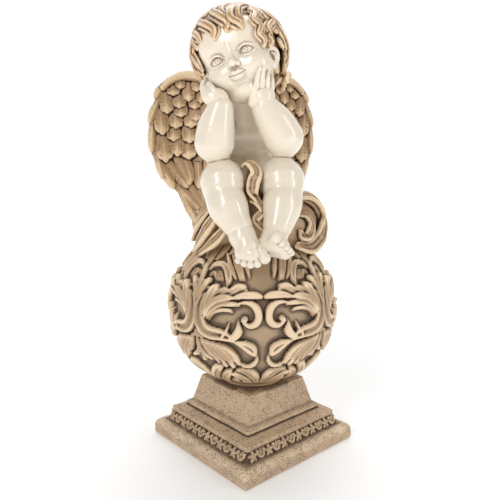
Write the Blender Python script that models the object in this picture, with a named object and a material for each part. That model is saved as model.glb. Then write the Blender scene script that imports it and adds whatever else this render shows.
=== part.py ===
"""Plaster angel figurine: a winged cherub that sits with its cheeks in its hands, on a
ball carved with acanthus scrolls, which is cemented to a stepped square plinth.

The plinth is one casting. The cherub, the cloth under it and the ball are another.
Units are metres, +Z is up, the carved ball's front faces -Y, and the origin is
at the middle of the plinth's underside.
"""

import math

import bmesh
import bpy
import numpy as np
from mathutils import Matrix, Vector

MM = 0.001

# Plinth, from the ground up. Each half width is half of that step's side.
PLINTH_TURN = math.radians(34.5)
SLAB_HALF = 75.5 * MM
SLAB_HEIGHT = 16.0 * MM
SLAB_FOOT_ROUNDING = 2.0 * MM
SLAB_ROUNDING = 5.0 * MM
BAND_FOOT_HALF = 64.0 * MM
BAND_TOP_HALF = 60.0 * MM
BAND_HEIGHT = 10.0 * MM
FILLET_HALF = 61.5 * MM
FILLET_HEIGHT = 4.6 * MM
FILLET_SLOPE_HEIGHT = 2.6 * MM
BEAD_HALF = 50.5 * MM
BEAD_HEIGHT = 6.8 * MM
BEAD_ROUNDING = 2.6 * MM
BLOCK_FOOT_HALF = 45.6 * MM
BLOCK_TOP_HALF = 39.2 * MM
BLOCK_HEIGHT = 26.0 * MM
EDGE_BEVEL = 1.2 * MM

# Flowers and scrolls that run round the plinth's band.
FLOWERS_PER_SIDE = 6
FLOWER_RADIUS = 4.6 * MM
SCROLL_SWING = 1.9 * MM
SCROLL_REACH = 5.4 * MM
SCROLL_HALF = 1.5 * MM
BAND_RELIEF = 2.0 * MM
BAND_POINTS = 36
BAND_ROWS = 4

# Foot ring that the ball rests on, and the cement joint between it and the plinth.
FOOT_RING_RADIUS = 33.0 * MM
FOOT_RING_HEIGHT = 5.0 * MM
JOINT_GAP = 0.3 * MM

# Ball
BALL_RADIUS = 80.5 * MM
BALL_RELIEF = 8.6 * MM
BALL_FOOT_RADIUS = 19.5 * MM

# The seated figure, from the ball's top to the top of its hair. Its masses are drawn on
# a sheet on which that height is this many units.
FIGURE_HEIGHT = 218.0 * MM
FIGURE_SHEET_UNITS = 218.0

# Fusing of the carved casting
FUSE_VOXEL = 1.25 * MM
CASTING_TRIANGLES = 8500

PLINTH_TOP = (
    SLAB_HEIGHT + BAND_HEIGHT + FILLET_HEIGHT + FILLET_SLOPE_HEIGHT + BEAD_HEIGHT + BLOCK_HEIGHT
)
BALL_FOOT_DROP = math.sqrt(BALL_RADIUS**2 - BALL_FOOT_RADIUS**2)
BALL_CENTRE = PLINTH_TOP + JOINT_GAP + BALL_FOOT_DROP
BALL_TOP = BALL_CENTRE + BALL_RADIUS
SHEET = FIGURE_HEIGHT / FIGURE_SHEET_UNITS

PLASTER_TAN = (0.53, 0.39, 0.26)
PLASTER_STONE = (0.50, 0.37, 0.25)


# Small tools

def clear_scene():
    """Removes whatever the scene holds before the model is made."""
    for old in list(bpy.data.objects):
        bpy.data.objects.remove(old, do_unlink=True)


def plaster(name, colour, roughness):
    """A plain Principled material for one casting."""
    material = bpy.data.materials.new(name)
    material.use_nodes = True
    shader = material.node_tree.nodes["Principled BSDF"]
    shader.inputs["Base Color"].default_value = (*colour, 1.0)
    shader.inputs["Roughness"].default_value = roughness
    shader.inputs["Metallic"].default_value = 0.0
    return material


def object_from(bm, name):
    """A scene object that holds the bmesh."""
    mesh = bpy.data.meshes.new(name)
    bm.to_mesh(mesh)
    bm.free()
    made = bpy.data.objects.new(name, mesh)
    bpy.context.scene.collection.objects.link(made)
    return made


def on_sheet(x, y, z):
    """A point of the figure's drawing sheet, in its units from the ball's top, as a place."""
    return Vector((x, y, z)) * SHEET + Vector((0.0, 0.0, BALL_TOP))


def catmull(rows, steps):
    """Rows of numbers read from a smooth curve through the given rows."""
    rows = [np.array(row, float) for row in rows]
    if len(rows) == 2:
        return [rows[0] + (rows[1] - rows[0]) * i / steps for i in range(steps + 1)]
    padded = [2 * rows[0] - rows[1], *rows, 2 * rows[-1] - rows[-2]]
    found = []
    for a, b, c, d in zip(padded, padded[1:], padded[2:], padded[3:]):
        for i in range(steps):
            t = i / steps
            found.append(
                0.5 * (2 * b + (c - a) * t + (2 * a - 5 * b + 4 * c - d) * t * t
                       + (3 * b - a - 3 * c + d) * t**3)
            )
    found.append(rows[-1])
    return found


def ellipsoid(bm, centre, radii, turn=None, detail=3):
    """A closed ellipsoid. Centre and radii are in sheet units."""
    scale = Matrix.Diagonal([r * SHEET for r in radii]).to_4x4()
    place = Matrix.Translation(on_sheet(*centre)) @ (turn or Matrix()).to_4x4() @ scale
    bmesh.ops.create_icosphere(bm, subdivisions=detail, radius=1.0, matrix=place)


def sweep(bm, rows, outward, sides=8, steps=4, flat=1.0):
    """A closed round-ended body along rows of (x, y, z, radius) in sheet units.

    outward is the direction, or a function of the point, in which the section is
    flattened: its half thickness there is flat times its half width.
    """
    rows = catmull(rows, steps)
    centres = [on_sheet(*row[:3]) for row in rows]
    widths = [max(row[3], 0.25) * SHEET for row in rows]
    rings = []
    for i, centre in enumerate(centres):
        along = (centres[min(i + 1, len(centres) - 1)] - centres[max(i - 1, 0)]).normalized()
        out = outward(centre) if callable(outward) else outward
        across = along.cross(out)
        across = across.normalized() if across.length > 1e-6 else along.orthogonal().normalized()
        rise = across.cross(along).normalized()
        ring = []
        for k in range(sides):
            angle = math.tau * k / sides
            place = centre + across * (math.cos(angle) * widths[i])
            ring.append(bm.verts.new(place + rise * (math.sin(angle) * widths[i] * flat)))
        rings.append(ring)
    for near, far in zip(rings, rings[1:]):
        for k in range(sides):
            bm.faces.new((near[k], near[(k + 1) % sides], far[(k + 1) % sides], far[k]))
    for ring, order in ((rings[0], -1), (rings[-1], 1)):
        end = 0 if order < 0 else len(centres) - 1
        inner = centres[1] if order < 0 else centres[-2]
        tip = bm.verts.new(centres[end] + (centres[end] - inner).normalized() * widths[end] * flat)
        for k in range(sides):
            pair = (ring[k], ring[(k + 1) % sides])
            bm.faces.new((*pair[::order], tip))


def limb(bm, *rows):
    """Round cones with ball ends through rows of (x, y, z, radius), as a chubby limb."""
    for (x0, y0, z0, r0), (x1, y1, z1, r1) in zip(rows, rows[1:]):
        start, end = on_sheet(x0, y0, z0), on_sheet(x1, y1, z1)
        along = end - start
        turn = along.to_track_quat("Z", "Y").to_matrix().to_4x4()
        bmesh.ops.create_cone(
            bm, cap_ends=True, segments=20, radius1=r0 * SHEET, radius2=r1 * SHEET,
            depth=along.length, matrix=Matrix.Translation((start + end) / 2) @ turn,
        )
    for x, y, z, r in rows:
        ellipsoid(bm, (x, y, z), (r, r, r))


# Ball relief: strokes of one mirrored half of the pattern, which repeats eight times.
# Each stroke is a height share and rows of (longitude, latitude, half width) in degrees.

BALL_STROKES = (
    # Main scroll stem
    (1.00, ((-37.5, 16.5, 3.0), (-41.0, 10.0, 4.0), (-40.2, 1.2, 4.1), (-36.2, -5.0, 3.9),
            (-28.7, -7.7, 3.6), (-20.0, -9.0, 3.0), (-14.0, -11.0, 2.0))),
    # Upper leaf
    (0.90, ((-39.0, 14.0, 2.4), (-34.5, 21.5, 2.8), (-30.5, 26.0, 2.0))),
    (0.84, ((-32.0, 15.0, 2.2), (-24.0, 21.0, 2.8), (-18.0, 25.6, 2.0))),
    (0.90, ((-24.0, 15.0, 2.0), (-11.0, 18.2, 2.8), (-2.4, 19.6, 2.2))),
    # Inner leaf of the scroll
    (0.92, ((-37.0, 5.0, 1.8), (-33.0, 11.0, 2.6), (-26.0, 14.6, 2.8), (-17.0, 14.6, 2.2))),
    (0.62, ((-34.5, 1.5, 1.6), (-30.5, 5.6, 1.9), (-25.0, 8.0, 1.9), (-19.0, 8.2, 1.6))),
    # Volute
    (0.80, ((-12.0, 12.4, 1.8), (-6.4, 12.4, 2.0), (-3.2, 8.0, 2.1), (-4.2, 2.4, 2.1),
            (-9.6, 0.8, 2.2), (-11.6, 4.6, 2.0))),
    # Fin under the volute
    (0.80, ((-16.4, 2.6, 1.4), (-16.2, -1.4, 2.2), (-18.6, -6.0, 2.4))),
    # Leaf tip under the stem
    (0.90, ((-19.0, -11.4, 1.8), (-11.0, -12.2, 3.0), (-6.0, -16.0, 2.8), (-4.9, -20.6, 1.6))),
    # Lower leaf
    (0.78, ((-40.5, -11.5, 1.8), (-36.0, -19.0, 2.3), (-32.5, -27.0, 1.7))),
    (0.84, ((-37.0, -12.0, 1.8), (-27.5, -18.6, 2.5), (-22.0, -28.0, 1.9))),
    (0.78, ((-30.0, -14.0, 1.6), (-21.0, -18.4, 2.3), (-14.6, -24.6, 1.8))),
    # Foot leaves
    (0.62, ((-4.0, -29.0, 1.8), (-11.0, -31.6, 2.6), (-18.5, -33.6, 2.0))),
    (0.60, ((-38.0, -40.0, 2.4), (-31.0, -35.6, 3.2), (-23.0, -34.6, 2.0))),
    # Palmette between two scrolls
    (0.72, ((-45.0, 3.0, 1.6), (-45.0, 15.0, 2.0), (-45.0, 28.0, 2.4))),
    (0.66, ((-45.0, -6.0, 2.4), (-40.8, -8.4, 2.0))),
    (0.56, ((-45.0, -12.0, 2.0), (-44.0, -20.0, 2.2), (-41.0, -27.0, 2.2))),
    # Hoods and ribs above the scrolls
    (0.62, tuple((-35.0 + 6.6 * math.cos(a), 34.4 + 5.4 * math.sin(a), 2.0)
                 for a in (math.radians(d) for d in range(-20, 211, 33)))),
    (0.50, ((-22.0, 43.0, 2.0), (-18.6, 37.0, 2.4), (-17.6, 31.0, 2.0))),
    (0.46, ((-11.6, 43.0, 2.0), (-9.4, 36.0, 2.4), (-8.6, 28.0, 2.0))),
)
PATTERN_SPAN = 90.0
STROKE_SHOULDER = 0.55


def ball_relief(longitude, latitude):
    """Height share of the carving at arrays of longitude and latitude in degrees."""
    half = PATTERN_SPAN / 2
    folded = -np.abs((longitude + half) % PATTERN_SPAN - half)
    shrink = np.cos(np.radians(latitude))
    height = np.zeros_like(longitude)
    for share, rows in BALL_STROKES:
        line = catmull(rows, 4)
        best = np.full_like(longitude, 9.0)
        for a, b in zip(line, line[1:]):
            ex, ey = (b[0] - a[0]) * shrink, b[1] - a[1]
            px, py = (folded - a[0]) * shrink, latitude - a[1]
            t = np.clip((px * ex + py * ey) / np.maximum(ex * ex + ey * ey, 1e-9), 0, 1)
            gap = np.hypot(px - t * ex, py - t * ey)
            best = np.minimum(best, gap / (a[2] + (b[2] - a[2]) * t))
        rise = share * np.clip(1.0 - best**2, 0, 1) ** STROKE_SHOULDER
        height = np.maximum(height, rise)
    return height


def add_ball(bm):
    """The carved ball, cut flat where it stands in the collar."""
    made = bmesh.ops.create_uvsphere(bm, u_segments=200, v_segments=120, radius=BALL_RADIUS)
    spots = np.array([v.co for v in made["verts"]])
    latitude = np.degrees(np.arcsin(np.clip(spots[:, 2] / BALL_RADIUS, -1, 1)))
    longitude = np.degrees(np.arctan2(spots[:, 0], -spots[:, 1]))
    reach = 1.0 + ball_relief(longitude, latitude) * BALL_RELIEF / BALL_RADIUS
    for vert, spot, stretch in zip(made["verts"], spots, reach):
        vert.co = Vector(spot * stretch)
        vert.co.z = max(vert.co.z, -BALL_FOOT_DROP)
        vert.co.z += BALL_CENTRE


def add_foot_ring(bm):
    """The low round collar under the ball."""
    rows = ((0.0, 0.96), (0.3, 1.0), (0.65, 0.97), (1.0, 0.82))
    count = 48
    rings = []
    for up, share in rows:
        height = PLINTH_TOP + JOINT_GAP + FOOT_RING_HEIGHT * up
        radius = FOOT_RING_RADIUS * share
        turns = [math.tau * k / count for k in range(count)]
        rings.append([bm.verts.new((radius * math.cos(a), radius * math.sin(a), height)) for a in turns])
    for low, high in zip(rings, rings[1:]):
        for k in range(count):
            bm.faces.new((low[k], low[(k + 1) % count], high[(k + 1) % count], high[k]))
    bm.faces.new(rings[0][::-1])
    bm.faces.new(rings[-1])


# The figure. Every row is (x, y, z, radius) on the sheet.

HEAD_CENTRE = (-14.5, -24.0, 163.5)
HEAD_ROLL = math.radians(-21.0)
HEAD_YAW = math.radians(-20.0)
HEAD_PITCH = math.radians(-6.0)


def head_turn():
    """The head's own axes: x to its left, y to its back, z to its crown."""
    return (
        Matrix.Rotation(HEAD_ROLL, 3, "Y")
        @ Matrix.Rotation(HEAD_YAW, 3, "Z")
        @ Matrix.Rotation(HEAD_PITCH, 3, "X")
    )


def in_head(x, y, z):
    """A point given in the head's own axes, on the sheet."""
    return tuple(head_turn() @ Vector((x, y, z)) + Vector(HEAD_CENTRE))


def add_torso(bm):
    """Hips, belly, chest, shoulders and neck."""
    ellipsoid(bm, (-2, 18, 42), (33, 27, 22))
    ellipsoid(bm, (-4, 7, 62), (29, 27, 24))
    ellipsoid(bm, (-6, 8, 90), (31, 26, 25))
    limb(bm, (-34, 0, 106, 14), (24, 0, 108, 14))
    limb(bm, (-8, -4, 104, 16), (-14, -16, 128, 17))


def add_arms(bm):
    """Upper arms, and the forearms that stand on the knees and carry the head."""
    limb(bm, (-34, -1, 106, 15), (-41, -45, 83, 16.5))
    limb(bm, (-41, -50, 82, 18.3), (-38.5, -52, 98, 15.8), (-35, -54, 114, 10.2), (-34.5, -54, 119, 9.6))
    limb(bm, (24, -2, 106, 15), (23, -45, 88, 17))
    limb(bm, (23, -50, 88, 19), (12, -51, 104, 16), (3, -52, 117, 10.6), (2.5, -52, 121, 10))


def add_hands(bm):
    """The cupped hands against both cheeks."""
    ellipsoid(bm, (-39, -50, 125), (11, 9.5, 9.5))
    ellipsoid(bm, (-45, -46, 130), (7.5, 8, 9))
    for i in range(4):
        back = 4.6 * i
        sweep(bm, ((-47, -47 + back, 131, 3.8), (-52, -42 + back, 141, 3.5), (-54, -36 + back, 152, 2.9)),
              Vector((1, 0, 0)))
    ellipsoid(bm, (3.5, -52, 127), (11.3, 8.5, 12.5))
    for i, (foot, tip) in enumerate(((-2.0, 0.0), (3.2, 4.4), (8.2, 8.8), (12.4, 12.6))):
        high = (151, 154, 153, 149)[i]
        sweep(bm, ((foot, -53 + i, 134, 3.6), (foot + 1.6, -52 + 1.6 * i, 143, 3.4),
                   (tip, -47 + 2.0 * i, high, 2.8)), Vector((0, 1, 0)))


def add_legs(bm):
    """Thighs, knees and shins, the feet hanging before the ball."""
    limb(bm, (-20, 14, 45, 23), (-34, -48, 48, 20))
    limb(bm, (-34, -51, 47, 19.5), (-30.5, -62, 28, 18.2), (-24, -70, 14, 14), (-19.5, -74, 5, 11.2))
    limb(bm, (16, 14, 45, 23), (21, -48, 49, 21))
    limb(bm, (21.5, -51, 48, 20), (20.5, -62, 29, 17.6), (16, -70, 15, 14), (13, -75, 5, 12))


def add_feet(bm):
    """The right foot points down; the left one is turned so that its sole shows."""
    limb(bm, (-19.5, -74, 4, 11.4), (-15, -82, -8, 10.5))
    limb(bm, (-15, -82, -8, 9.5), (-6, -88, -14, 7.4))
    limb(bm, (-16, -82, -8, 9.0), (-19.5, -85, -14, 6.6))
    toes = ((-1.6, -93.5, -17, 5.4), (-9.2, -93.0, -20.5, 3.8), (-14.0, -91.6, -21.5, 3.5),
            (-18.8, -90.0, -21.0, 3.2), (-23.2, -87.6, -19.0, 3.0))
    for x, y, z, r in toes:
        limb(bm, (x * 0.9 - 1.2, y + 5, z + 7, r * 0.95), (x, y, z, r))
    limb(bm, (13, -75, 4, 12), (7, -78, -6, 10.5))
    limb(bm, (7, -79, -6, 9.5), (10, -91, -7, 7.6), (18.5, -89.5, -14, 6.8), (9, -80, -10, 8))
    toes = ((8.2, -97.5, 0.0, 4.8), (13.6, -97.4, -4.6, 3.5), (17.4, -96.4, -7.6, 3.3),
            (20.4, -94.8, -10.2, 3.1), (22.6, -92.4, -13.0, 2.9))
    for x, y, z, r in toes:
        limb(bm, (x - 1.5, y + 6, z - 2, r), (x, y, z, r))


def add_head(bm):
    """Skull, full cheeks, small nose, lips and chin of a plain child's face, and the ears."""
    turn = head_turn()
    shapes = (
        ((0, 3, 6), (37, 40, 36)), ((0, -12, -14), (32, 27, 27)), ((0, -24, 10), (27, 14, 22)),
        ((16, -25, -17), (13, 12, 13)), ((-16, -25, -17), (13, 12, 13)), ((0, -30, -32), (10, 9, 8)),
        ((0, -38, -11), (5.6, 7, 5.4)), ((0, -35, -4), (4.6, 5, 8)), ((0, -36, -23), (8, 5.4, 5.2)),
        ((36, -1, -8), (4, 6.5, 9.5)), ((-36, -1, -8), (4, 6.5, 9.5)),
    )
    for centre, radii in shapes:
        ellipsoid(bm, in_head(*centre), radii, turn)


HAIR_RADIUS = 40.5
CROWN = (0.0, 6.0, 3.0)


def lock_rows(bearing, start, end, swing, width, lift=0.0):
    """A wavy lock down the skull: bearing in degrees from the face, start and end as
    degrees from the crown, swing as the wave's reach and width as its half width."""
    rows = []
    count = 7
    for i in range(count):
        t = i / (count - 1)
        polar = math.radians(start + (end - start) * t)
        around = math.radians(bearing + swing * math.sin(t * math.tau * 0.9))
        reach = HAIR_RADIUS + lift * math.sin(math.pi * t)
        x = reach * math.sin(polar) * math.sin(around) * 0.95 + CROWN[0]
        y = -reach * math.sin(polar) * math.cos(around) * 1.02 + CROWN[1] * (1 - t)
        z = reach * math.cos(polar) + CROWN[2]
        rows.append((*in_head(x, y, z), width * (0.75 + 0.35 * math.sin(math.pi * min(1.0, t + 0.1)))))
    return rows


def hair_locks():
    """All locks: a fringe over the brow, the sides past the ears, and the back of the head."""
    locks = []
    for i, bearing in enumerate(range(-56, 60, 22)):
        locks.append(lock_rows(bearing, 24, 64 + 8 * (i % 2), 15 * (-1) ** i, 7.2, 3.0))
    for side in (-1, 1):
        for i, bearing in enumerate((76, 98)):
            locks.append(lock_rows(side * bearing, 28, 94 + 12 * i, 11 * (-1) ** i, 7.4, 3.0))
        for i, bearing in enumerate((122, 147, 172)):
            locks.append(lock_rows(side * bearing, 26, 124 + 6 * (i % 2), 11 * (-1) ** i, 7.8, 2.5))
    for i, bearing in enumerate(range(-165, 180, 60)):
        locks.append(lock_rows(bearing, 2, 46, 16 * (-1) ** i, 7.6, 3.5))
    return locks


def add_hair(bm):
    """The scalp and its carved locks."""
    turn = head_turn()
    ellipsoid(bm, in_head(0, 8, 8), (37.5, 37, 36), turn)
    ellipsoid(bm, in_head(0, 16, -12), (32, 25, 25), turn)
    middle = on_sheet(*HEAD_CENTRE)
    for rows in hair_locks():
        sweep(bm, rows, lambda spot: spot - middle, sides=8, steps=2, flat=0.85)


# Wings. Each is a bowed plate that carries rows of overlapping feathers.

WING_THICKNESS = 4.0


class Wing:
    """One wing: a mapping from its own plane (share across, height) to the sheet.

    side is -1 for the wing at the figure's right and 1 for the one at its left. The
    outline holds rows of (height, share of the inner edge, share of the outer edge).
    """

    def __init__(self, side, root, outer, depth_root, depth_outer, outline):
        self.side = side
        self.root = root
        self.outer = outer
        self.depth_root = depth_root
        self.depth_outer = depth_outer
        self.outline = outline

    def spot(self, across, height, lift=0.0):
        """A sheet point at that share across and that height, lifted towards the front."""
        x = self.root + (self.outer - self.root) * across
        bow = WING_BOW * ((across - 0.45) ** 2 * 9.0 - 1.0)
        y = self.depth_root + (self.depth_outer - self.depth_root) * across - bow
        y += WING_LEAN * (height - WING_MIDDLE)
        return (x, y - lift, height)

    def share(self, fraction, height):
        """The share across that lies a fraction of the way from inner to outer edge."""
        heights = [row[0] for row in self.outline][::-1]
        inner = np.interp(height, heights, [row[1] for row in self.outline][::-1])
        outer = np.interp(height, heights, [row[2] for row in self.outline][::-1])
        return float(inner + (outer - inner) * fraction)


WING_BOW = 4.0
WING_LEAN = 0.05
WING_MIDDLE = 110.0
RIGHT_OUTLINE = (
    (156, 0.34, 0.50), (150, 0.16, 0.70), (142, 0.06, 0.82), (132, 0.0, 0.91), (112, -0.02, 1.0),
    (92, -0.02, 1.0), (80, -0.02, 0.97), (70, 0.0, 0.90), (50, 0.06, 0.80), (40, 0.10, 0.70),
    (30, 0.14, 0.58), (5, 0.24, 0.40), (-12, 0.30, 0.37),
)
LEFT_OUTLINE = (
    (158, 0.36, 0.48), (152, 0.22, 0.64), (140, 0.10, 0.77), (126, 0.04, 0.88), (104, 0.0, 0.93),
    (86, 0.0, 0.90), (78, 0.0, 0.84), (60, 0.02, 0.77), (40, 0.08, 0.66), (20, 0.16, 0.52),
    (0, 0.24, 0.38),
)
RIGHT_WING = Wing(-1, -28.0, -100.0, 24.0, 36.0, RIGHT_OUTLINE)
LEFT_WING = Wing(1, 14.0, 74.0, 28.0, 54.0, LEFT_OUTLINE)

# Feather rows: height of the tips, length, half width and count.
FEATHER_ROWS = (
    (126, 18, 6.8, 3), (110, 22, 7.6, 4), (93, 24, 7.8, 4), (74, 27, 8.0, 4), (52, 34, 7.6, 4),
    (24, 44, 6.4, 3), (-4, 50, 5.4, 2),
)
FEATHER_FLAT = 0.5
FEATHER_LEAN = 0.0022
BACK_QUILLS = 5


def add_wing_plate(bm, wing):
    """The bowed plate under the feathers, with its thick leading edge."""
    stations = 7
    front, back = [], []
    for height, inner, outer in wing.outline:
        shares = [inner + (outer - inner) * i / (stations - 1) for i in range(stations)]
        front.append([bm.verts.new(on_sheet(*wing.spot(s, height, WING_THICKNESS / 2))) for s in shares])
        back.append([bm.verts.new(on_sheet(*wing.spot(s, height, -WING_THICKNESS))) for s in shares])
    rows = len(front)
    order = wing.side
    for i in range(rows - 1):
        for k in range(stations - 1):
            quad = (front[i][k], front[i][k + 1], front[i + 1][k + 1], front[i + 1][k])
            bm.faces.new(quad[::order])
            quad = (back[i][k], back[i][k + 1], back[i + 1][k + 1], back[i + 1][k])
            bm.faces.new(quad[::-order])
        for k in (0, stations - 1):
            quad = (front[i][k], front[i + 1][k], back[i + 1][k], back[i][k])
            bm.faces.new(quad[::order] if k == 0 else quad[::-order])
    for i in (0, rows - 1):
        for k in range(stations - 1):
            quad = (front[i][k], back[i][k], back[i][k + 1], front[i][k + 1])
            bm.faces.new(quad[::order] if i == 0 else quad[::-order])


def feather_rows(wing):
    """Every feather of a wing's face, as rows of (x, y, z, half width)."""
    found = []
    for index, (tip, length, half, count) in enumerate(FEATHER_ROWS):
        for i in range(count):
            fraction = (i + 0.5 + 0.25 * (-1) ** index) / count
            rows = []
            for t, wide in ((0.0, 0.55), (0.35, 0.9), (0.7, 1.0), (0.92, 0.72), (1.0, 0.35)):
                height = tip + length * (1 - t)
                share = wing.share(fraction, height) - FEATHER_LEAN * (t - 0.5) * length
                rows.append((*wing.spot(share, height, 2.0 + 2.6 * t), half * wide))
            found.append(rows)
    return found


def rim_rows(wing):
    """Long vanes that close the outer edge, and the rolled leading edge over the top."""
    found = []
    edge = [(h, o) for h, _, o in wing.outline]
    for i in range(1, len(edge) - 2):
        top, low = edge[i - 1], edge[min(i + 1, len(edge) - 1)]
        rows = []
        for t, wide in ((0.0, 0.6), (0.5, 1.0), (0.85, 0.8), (1.0, 0.35)):
            share = top[1] + (low[1] - top[1]) * t
            rows.append((*wing.spot(share, top[0] + (low[0] - top[0]) * t, 0.5 + t), 4.6 * wide))
        found.append(rows)
    over = ((0.0, 126), (0.08, 140), (0.22, 150), (0.42, 155), (0.62, 152), (0.76, 144))
    found.append([(*wing.spot(share, height, 2.0), 5.0) for share, height in over])
    return found


def add_wing(bm, wing):
    """Plate, face feathers, edge vanes, back quills and the root that joins the shoulder."""
    add_wing_plate(bm, wing)
    forward = Vector((0, 1, 0))
    for rows in feather_rows(wing):
        sweep(bm, rows, forward, sides=6, steps=1, flat=FEATHER_FLAT)
    for rows in rim_rows(wing):
        sweep(bm, rows, forward, sides=6, steps=2, flat=0.62)
    for quill in range(BACK_QUILLS):
        fraction = (quill + 0.5) / BACK_QUILLS
        rows = []
        for t, wide in ((0.0, 2.0), (0.2, 5.5), (0.5, 6.0), (0.8, 4.6), (1.0, 2.4)):
            height = 142 - 12 * abs(fraction - 0.5) - 112 * t
            rows.append((*wing.spot(wing.share(fraction, height), height, -WING_THICKNESS), wide))
        sweep(bm, rows, forward, sides=6, steps=2, flat=0.5)
    root = wing.spot(0.1, 96, 0)
    limb(bm, (-6 + wing.side * 12, 16, 96, 12), (root[0], root[1], 100, 9))


# Cloth on the ball: rolled ribbons on a low mound.

RIBBONS = (
    # Between the shins
    ((-6, -30, 66, 3.0), (3, -46, 60, 4.6), (5, -56, 46, 5.0), (-2, -60, 30, 4.6), (-1, -64, 18, 4.0)),
    ((-8, -58, 25, 3.0), (2, -64, 19, 4.8), (4, -68, 8, 4.6), (-4, -71, 2, 4.0), (2, -74, -6, 3.2)),
    # Big curl at the figure's left
    ((38, -36, 30, 4.6), (55, -28, 22, 7.0), (65, -20, 4, 7.4), (60, -32, -10, 7.2), (48, -45, -17, 7.0),
     (34, -54, -12, 4.0)),
    ((42, -42, 16, 3.8), (51, -40, 9, 5.4), (49, -45, -3, 5.4), (40, -50, 0, 4.0)),
    ((44, -14, 34, 4.6), (58, -10, 29, 6.6), (66, -8, 21, 5.6)),
    # Pointed folds at the figure's right
    ((-38, -44, 18, 4.4), (-46, -44, 4, 7.2), (-54, -36, -10, 6.4), (-60, -26, -20, 3.4)),
    ((-44, -28, 20, 4.0), (-54, -22, 5, 6.4), (-60, -14, -10, 4.6)),
    ((-28, -56, 8, 3.6), (-42, -53, -8, 6.0), (-54, -42, -20, 3.6)),
    # Round the back
    ((-56, 14, 20, 5.0), (-40, 44, 10, 8.0), (-10, 58, 2, 8.0), (20, 58, 4, 8.0), (46, 42, 12, 7.0),
     (62, 16, 22, 5.0)),
    ((-52, 28, 4, 4.0), (-26, 58, -8, 7.0), (8, 66, -12, 7.0), (38, 54, -6, 6.0), (58, 30, 2, 4.0)),
    ((-34, 46, 20, 4.0), (-8, 52, 16, 6.0), (18, 50, 18, 6.0), (38, 40, 24, 4.0)),
)
RIBBON_FLAT = 0.75


def add_cloth(bm):
    """The mound of cloth that the figure sits on, with its ribbons."""
    ellipsoid(bm, (1, 6, 0), (54, 48, 28))
    ellipsoid(bm, (-2, -24, 18), (26, 32, 28))
    ellipsoid(bm, (-28, -2, 2), (30, 42, 30))
    ellipsoid(bm, (32, -6, 2), (33, 42, 32))
    middle = on_sheet(0, 0, -60)
    for rows in RIBBONS:
        sweep(bm, rows, lambda spot: spot - middle, sides=8, steps=3, flat=RIBBON_FLAT)


# Fusing of the casting

def largest_shell(obj):
    """Keeps the outer shell of the fused casting and drops bubbles shut inside it."""
    bm = bmesh.new()
    bm.from_mesh(obj.data)
    left = set(bm.verts)
    shells = []
    while left:
        seed = left.pop()
        shell, edge = {seed}, [seed]
        while edge:
            vert = edge.pop()
            for link in vert.link_edges:
                other = link.other_vert(vert)
                if other not in shell:
                    shell.add(other)
                    edge.append(other)
        left -= shell
        shells.append(shell)
    keep = max(shells, key=len)
    bmesh.ops.delete(bm, geom=[v for v in bm.verts if v not in keep], context="VERTS")
    bm.to_mesh(obj.data)
    bm.free()


def evaluated_copy(obj):
    """The object's mesh with its modifiers, as a mesh of its own."""
    bpy.context.view_layer.update()
    graph = bpy.context.evaluated_depsgraph_get()
    return bpy.data.meshes.new_from_object(obj.evaluated_get(graph))


def fuse(obj):
    """Fuses the overlapping masses into one skin, softens their joins and thins the mesh."""
    remesh = obj.modifiers.new("Fuse", "REMESH")
    remesh.mode = "VOXEL"
    remesh.voxel_size = FUSE_VOXEL
    soften = obj.modifiers.new("Soften", "SMOOTH")
    soften.factor = 0.5
    soften.iterations = 2
    fused = evaluated_copy(obj)
    obj.modifiers.clear()
    obj.data = fused
    largest_shell(obj)
    for vert in obj.data.vertices:
        vert.co.z = max(vert.co.z, PLINTH_TOP + JOINT_GAP)
    thin = obj.modifiers.new("Thin", "DECIMATE")
    thin.decimate_type = "COLLAPSE"
    thin.ratio = min(1.0, CASTING_TRIANGLES / (2.0 * len(obj.data.polygons)))


def build_casting():
    """The cherub, its cloth and the carved ball as one closed body."""
    bm = bmesh.new()
    add_ball(bm)
    add_foot_ring(bm)
    add_cloth(bm)
    add_torso(bm)
    add_legs(bm)
    add_feet(bm)
    add_arms(bm)
    add_hands(bm)
    add_head(bm)
    add_hair(bm)
    for wing in (RIGHT_WING, LEFT_WING):
        add_wing(bm, wing)
    casting = object_from(bm, "angel_and_ball")
    fuse(casting)
    casting.data.materials.clear()
    casting.data.materials.append(plaster("antique_plaster", PLASTER_TAN, 0.5))
    casting.data.shade_smooth()
    casting.data.set_sharp_from_angle(angle=math.radians(35))
    return casting


# Plinth

def rounded_slab(start, height, half, foot, top, steps):
    """Profile of a slab with rounded edges, as (height, half width) from its foot up."""
    rows = []
    for i in range(steps + 1):
        angle = math.radians(90 * i / steps)
        rows.append((start + foot * (1 - math.cos(angle)), half - foot * (1 - math.sin(angle))))
    for i in range(steps + 1):
        angle = math.radians(90 * i / steps)
        rows.append((start + height - top * (1 - math.sin(angle)), half - top * (1 - math.cos(angle))))
    return rows


def lower_profile():
    """The bottom slab, up to the foot of the carved band."""
    return rounded_slab(0.0, SLAB_HEIGHT, SLAB_HALF, SLAB_FOOT_ROUNDING, SLAB_ROUNDING, 3)


def upper_profile():
    """From the underside of the fillet slab to the plinth's top."""
    height = SLAB_HEIGHT + BAND_HEIGHT
    rows = rounded_slab(height, FILLET_HEIGHT, FILLET_HALF, EDGE_BEVEL, EDGE_BEVEL, 1)
    height += FILLET_HEIGHT + FILLET_SLOPE_HEIGHT
    rows += rounded_slab(height, BEAD_HEIGHT, BEAD_HALF, BEAD_ROUNDING, BEAD_ROUNDING, 2)
    height += BEAD_HEIGHT
    rows.append((height, BLOCK_FOOT_HALF))
    rows += [(PLINTH_TOP - EDGE_BEVEL, BLOCK_TOP_HALF), (PLINTH_TOP, BLOCK_TOP_HALF - EDGE_BEVEL)]
    return rows


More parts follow.
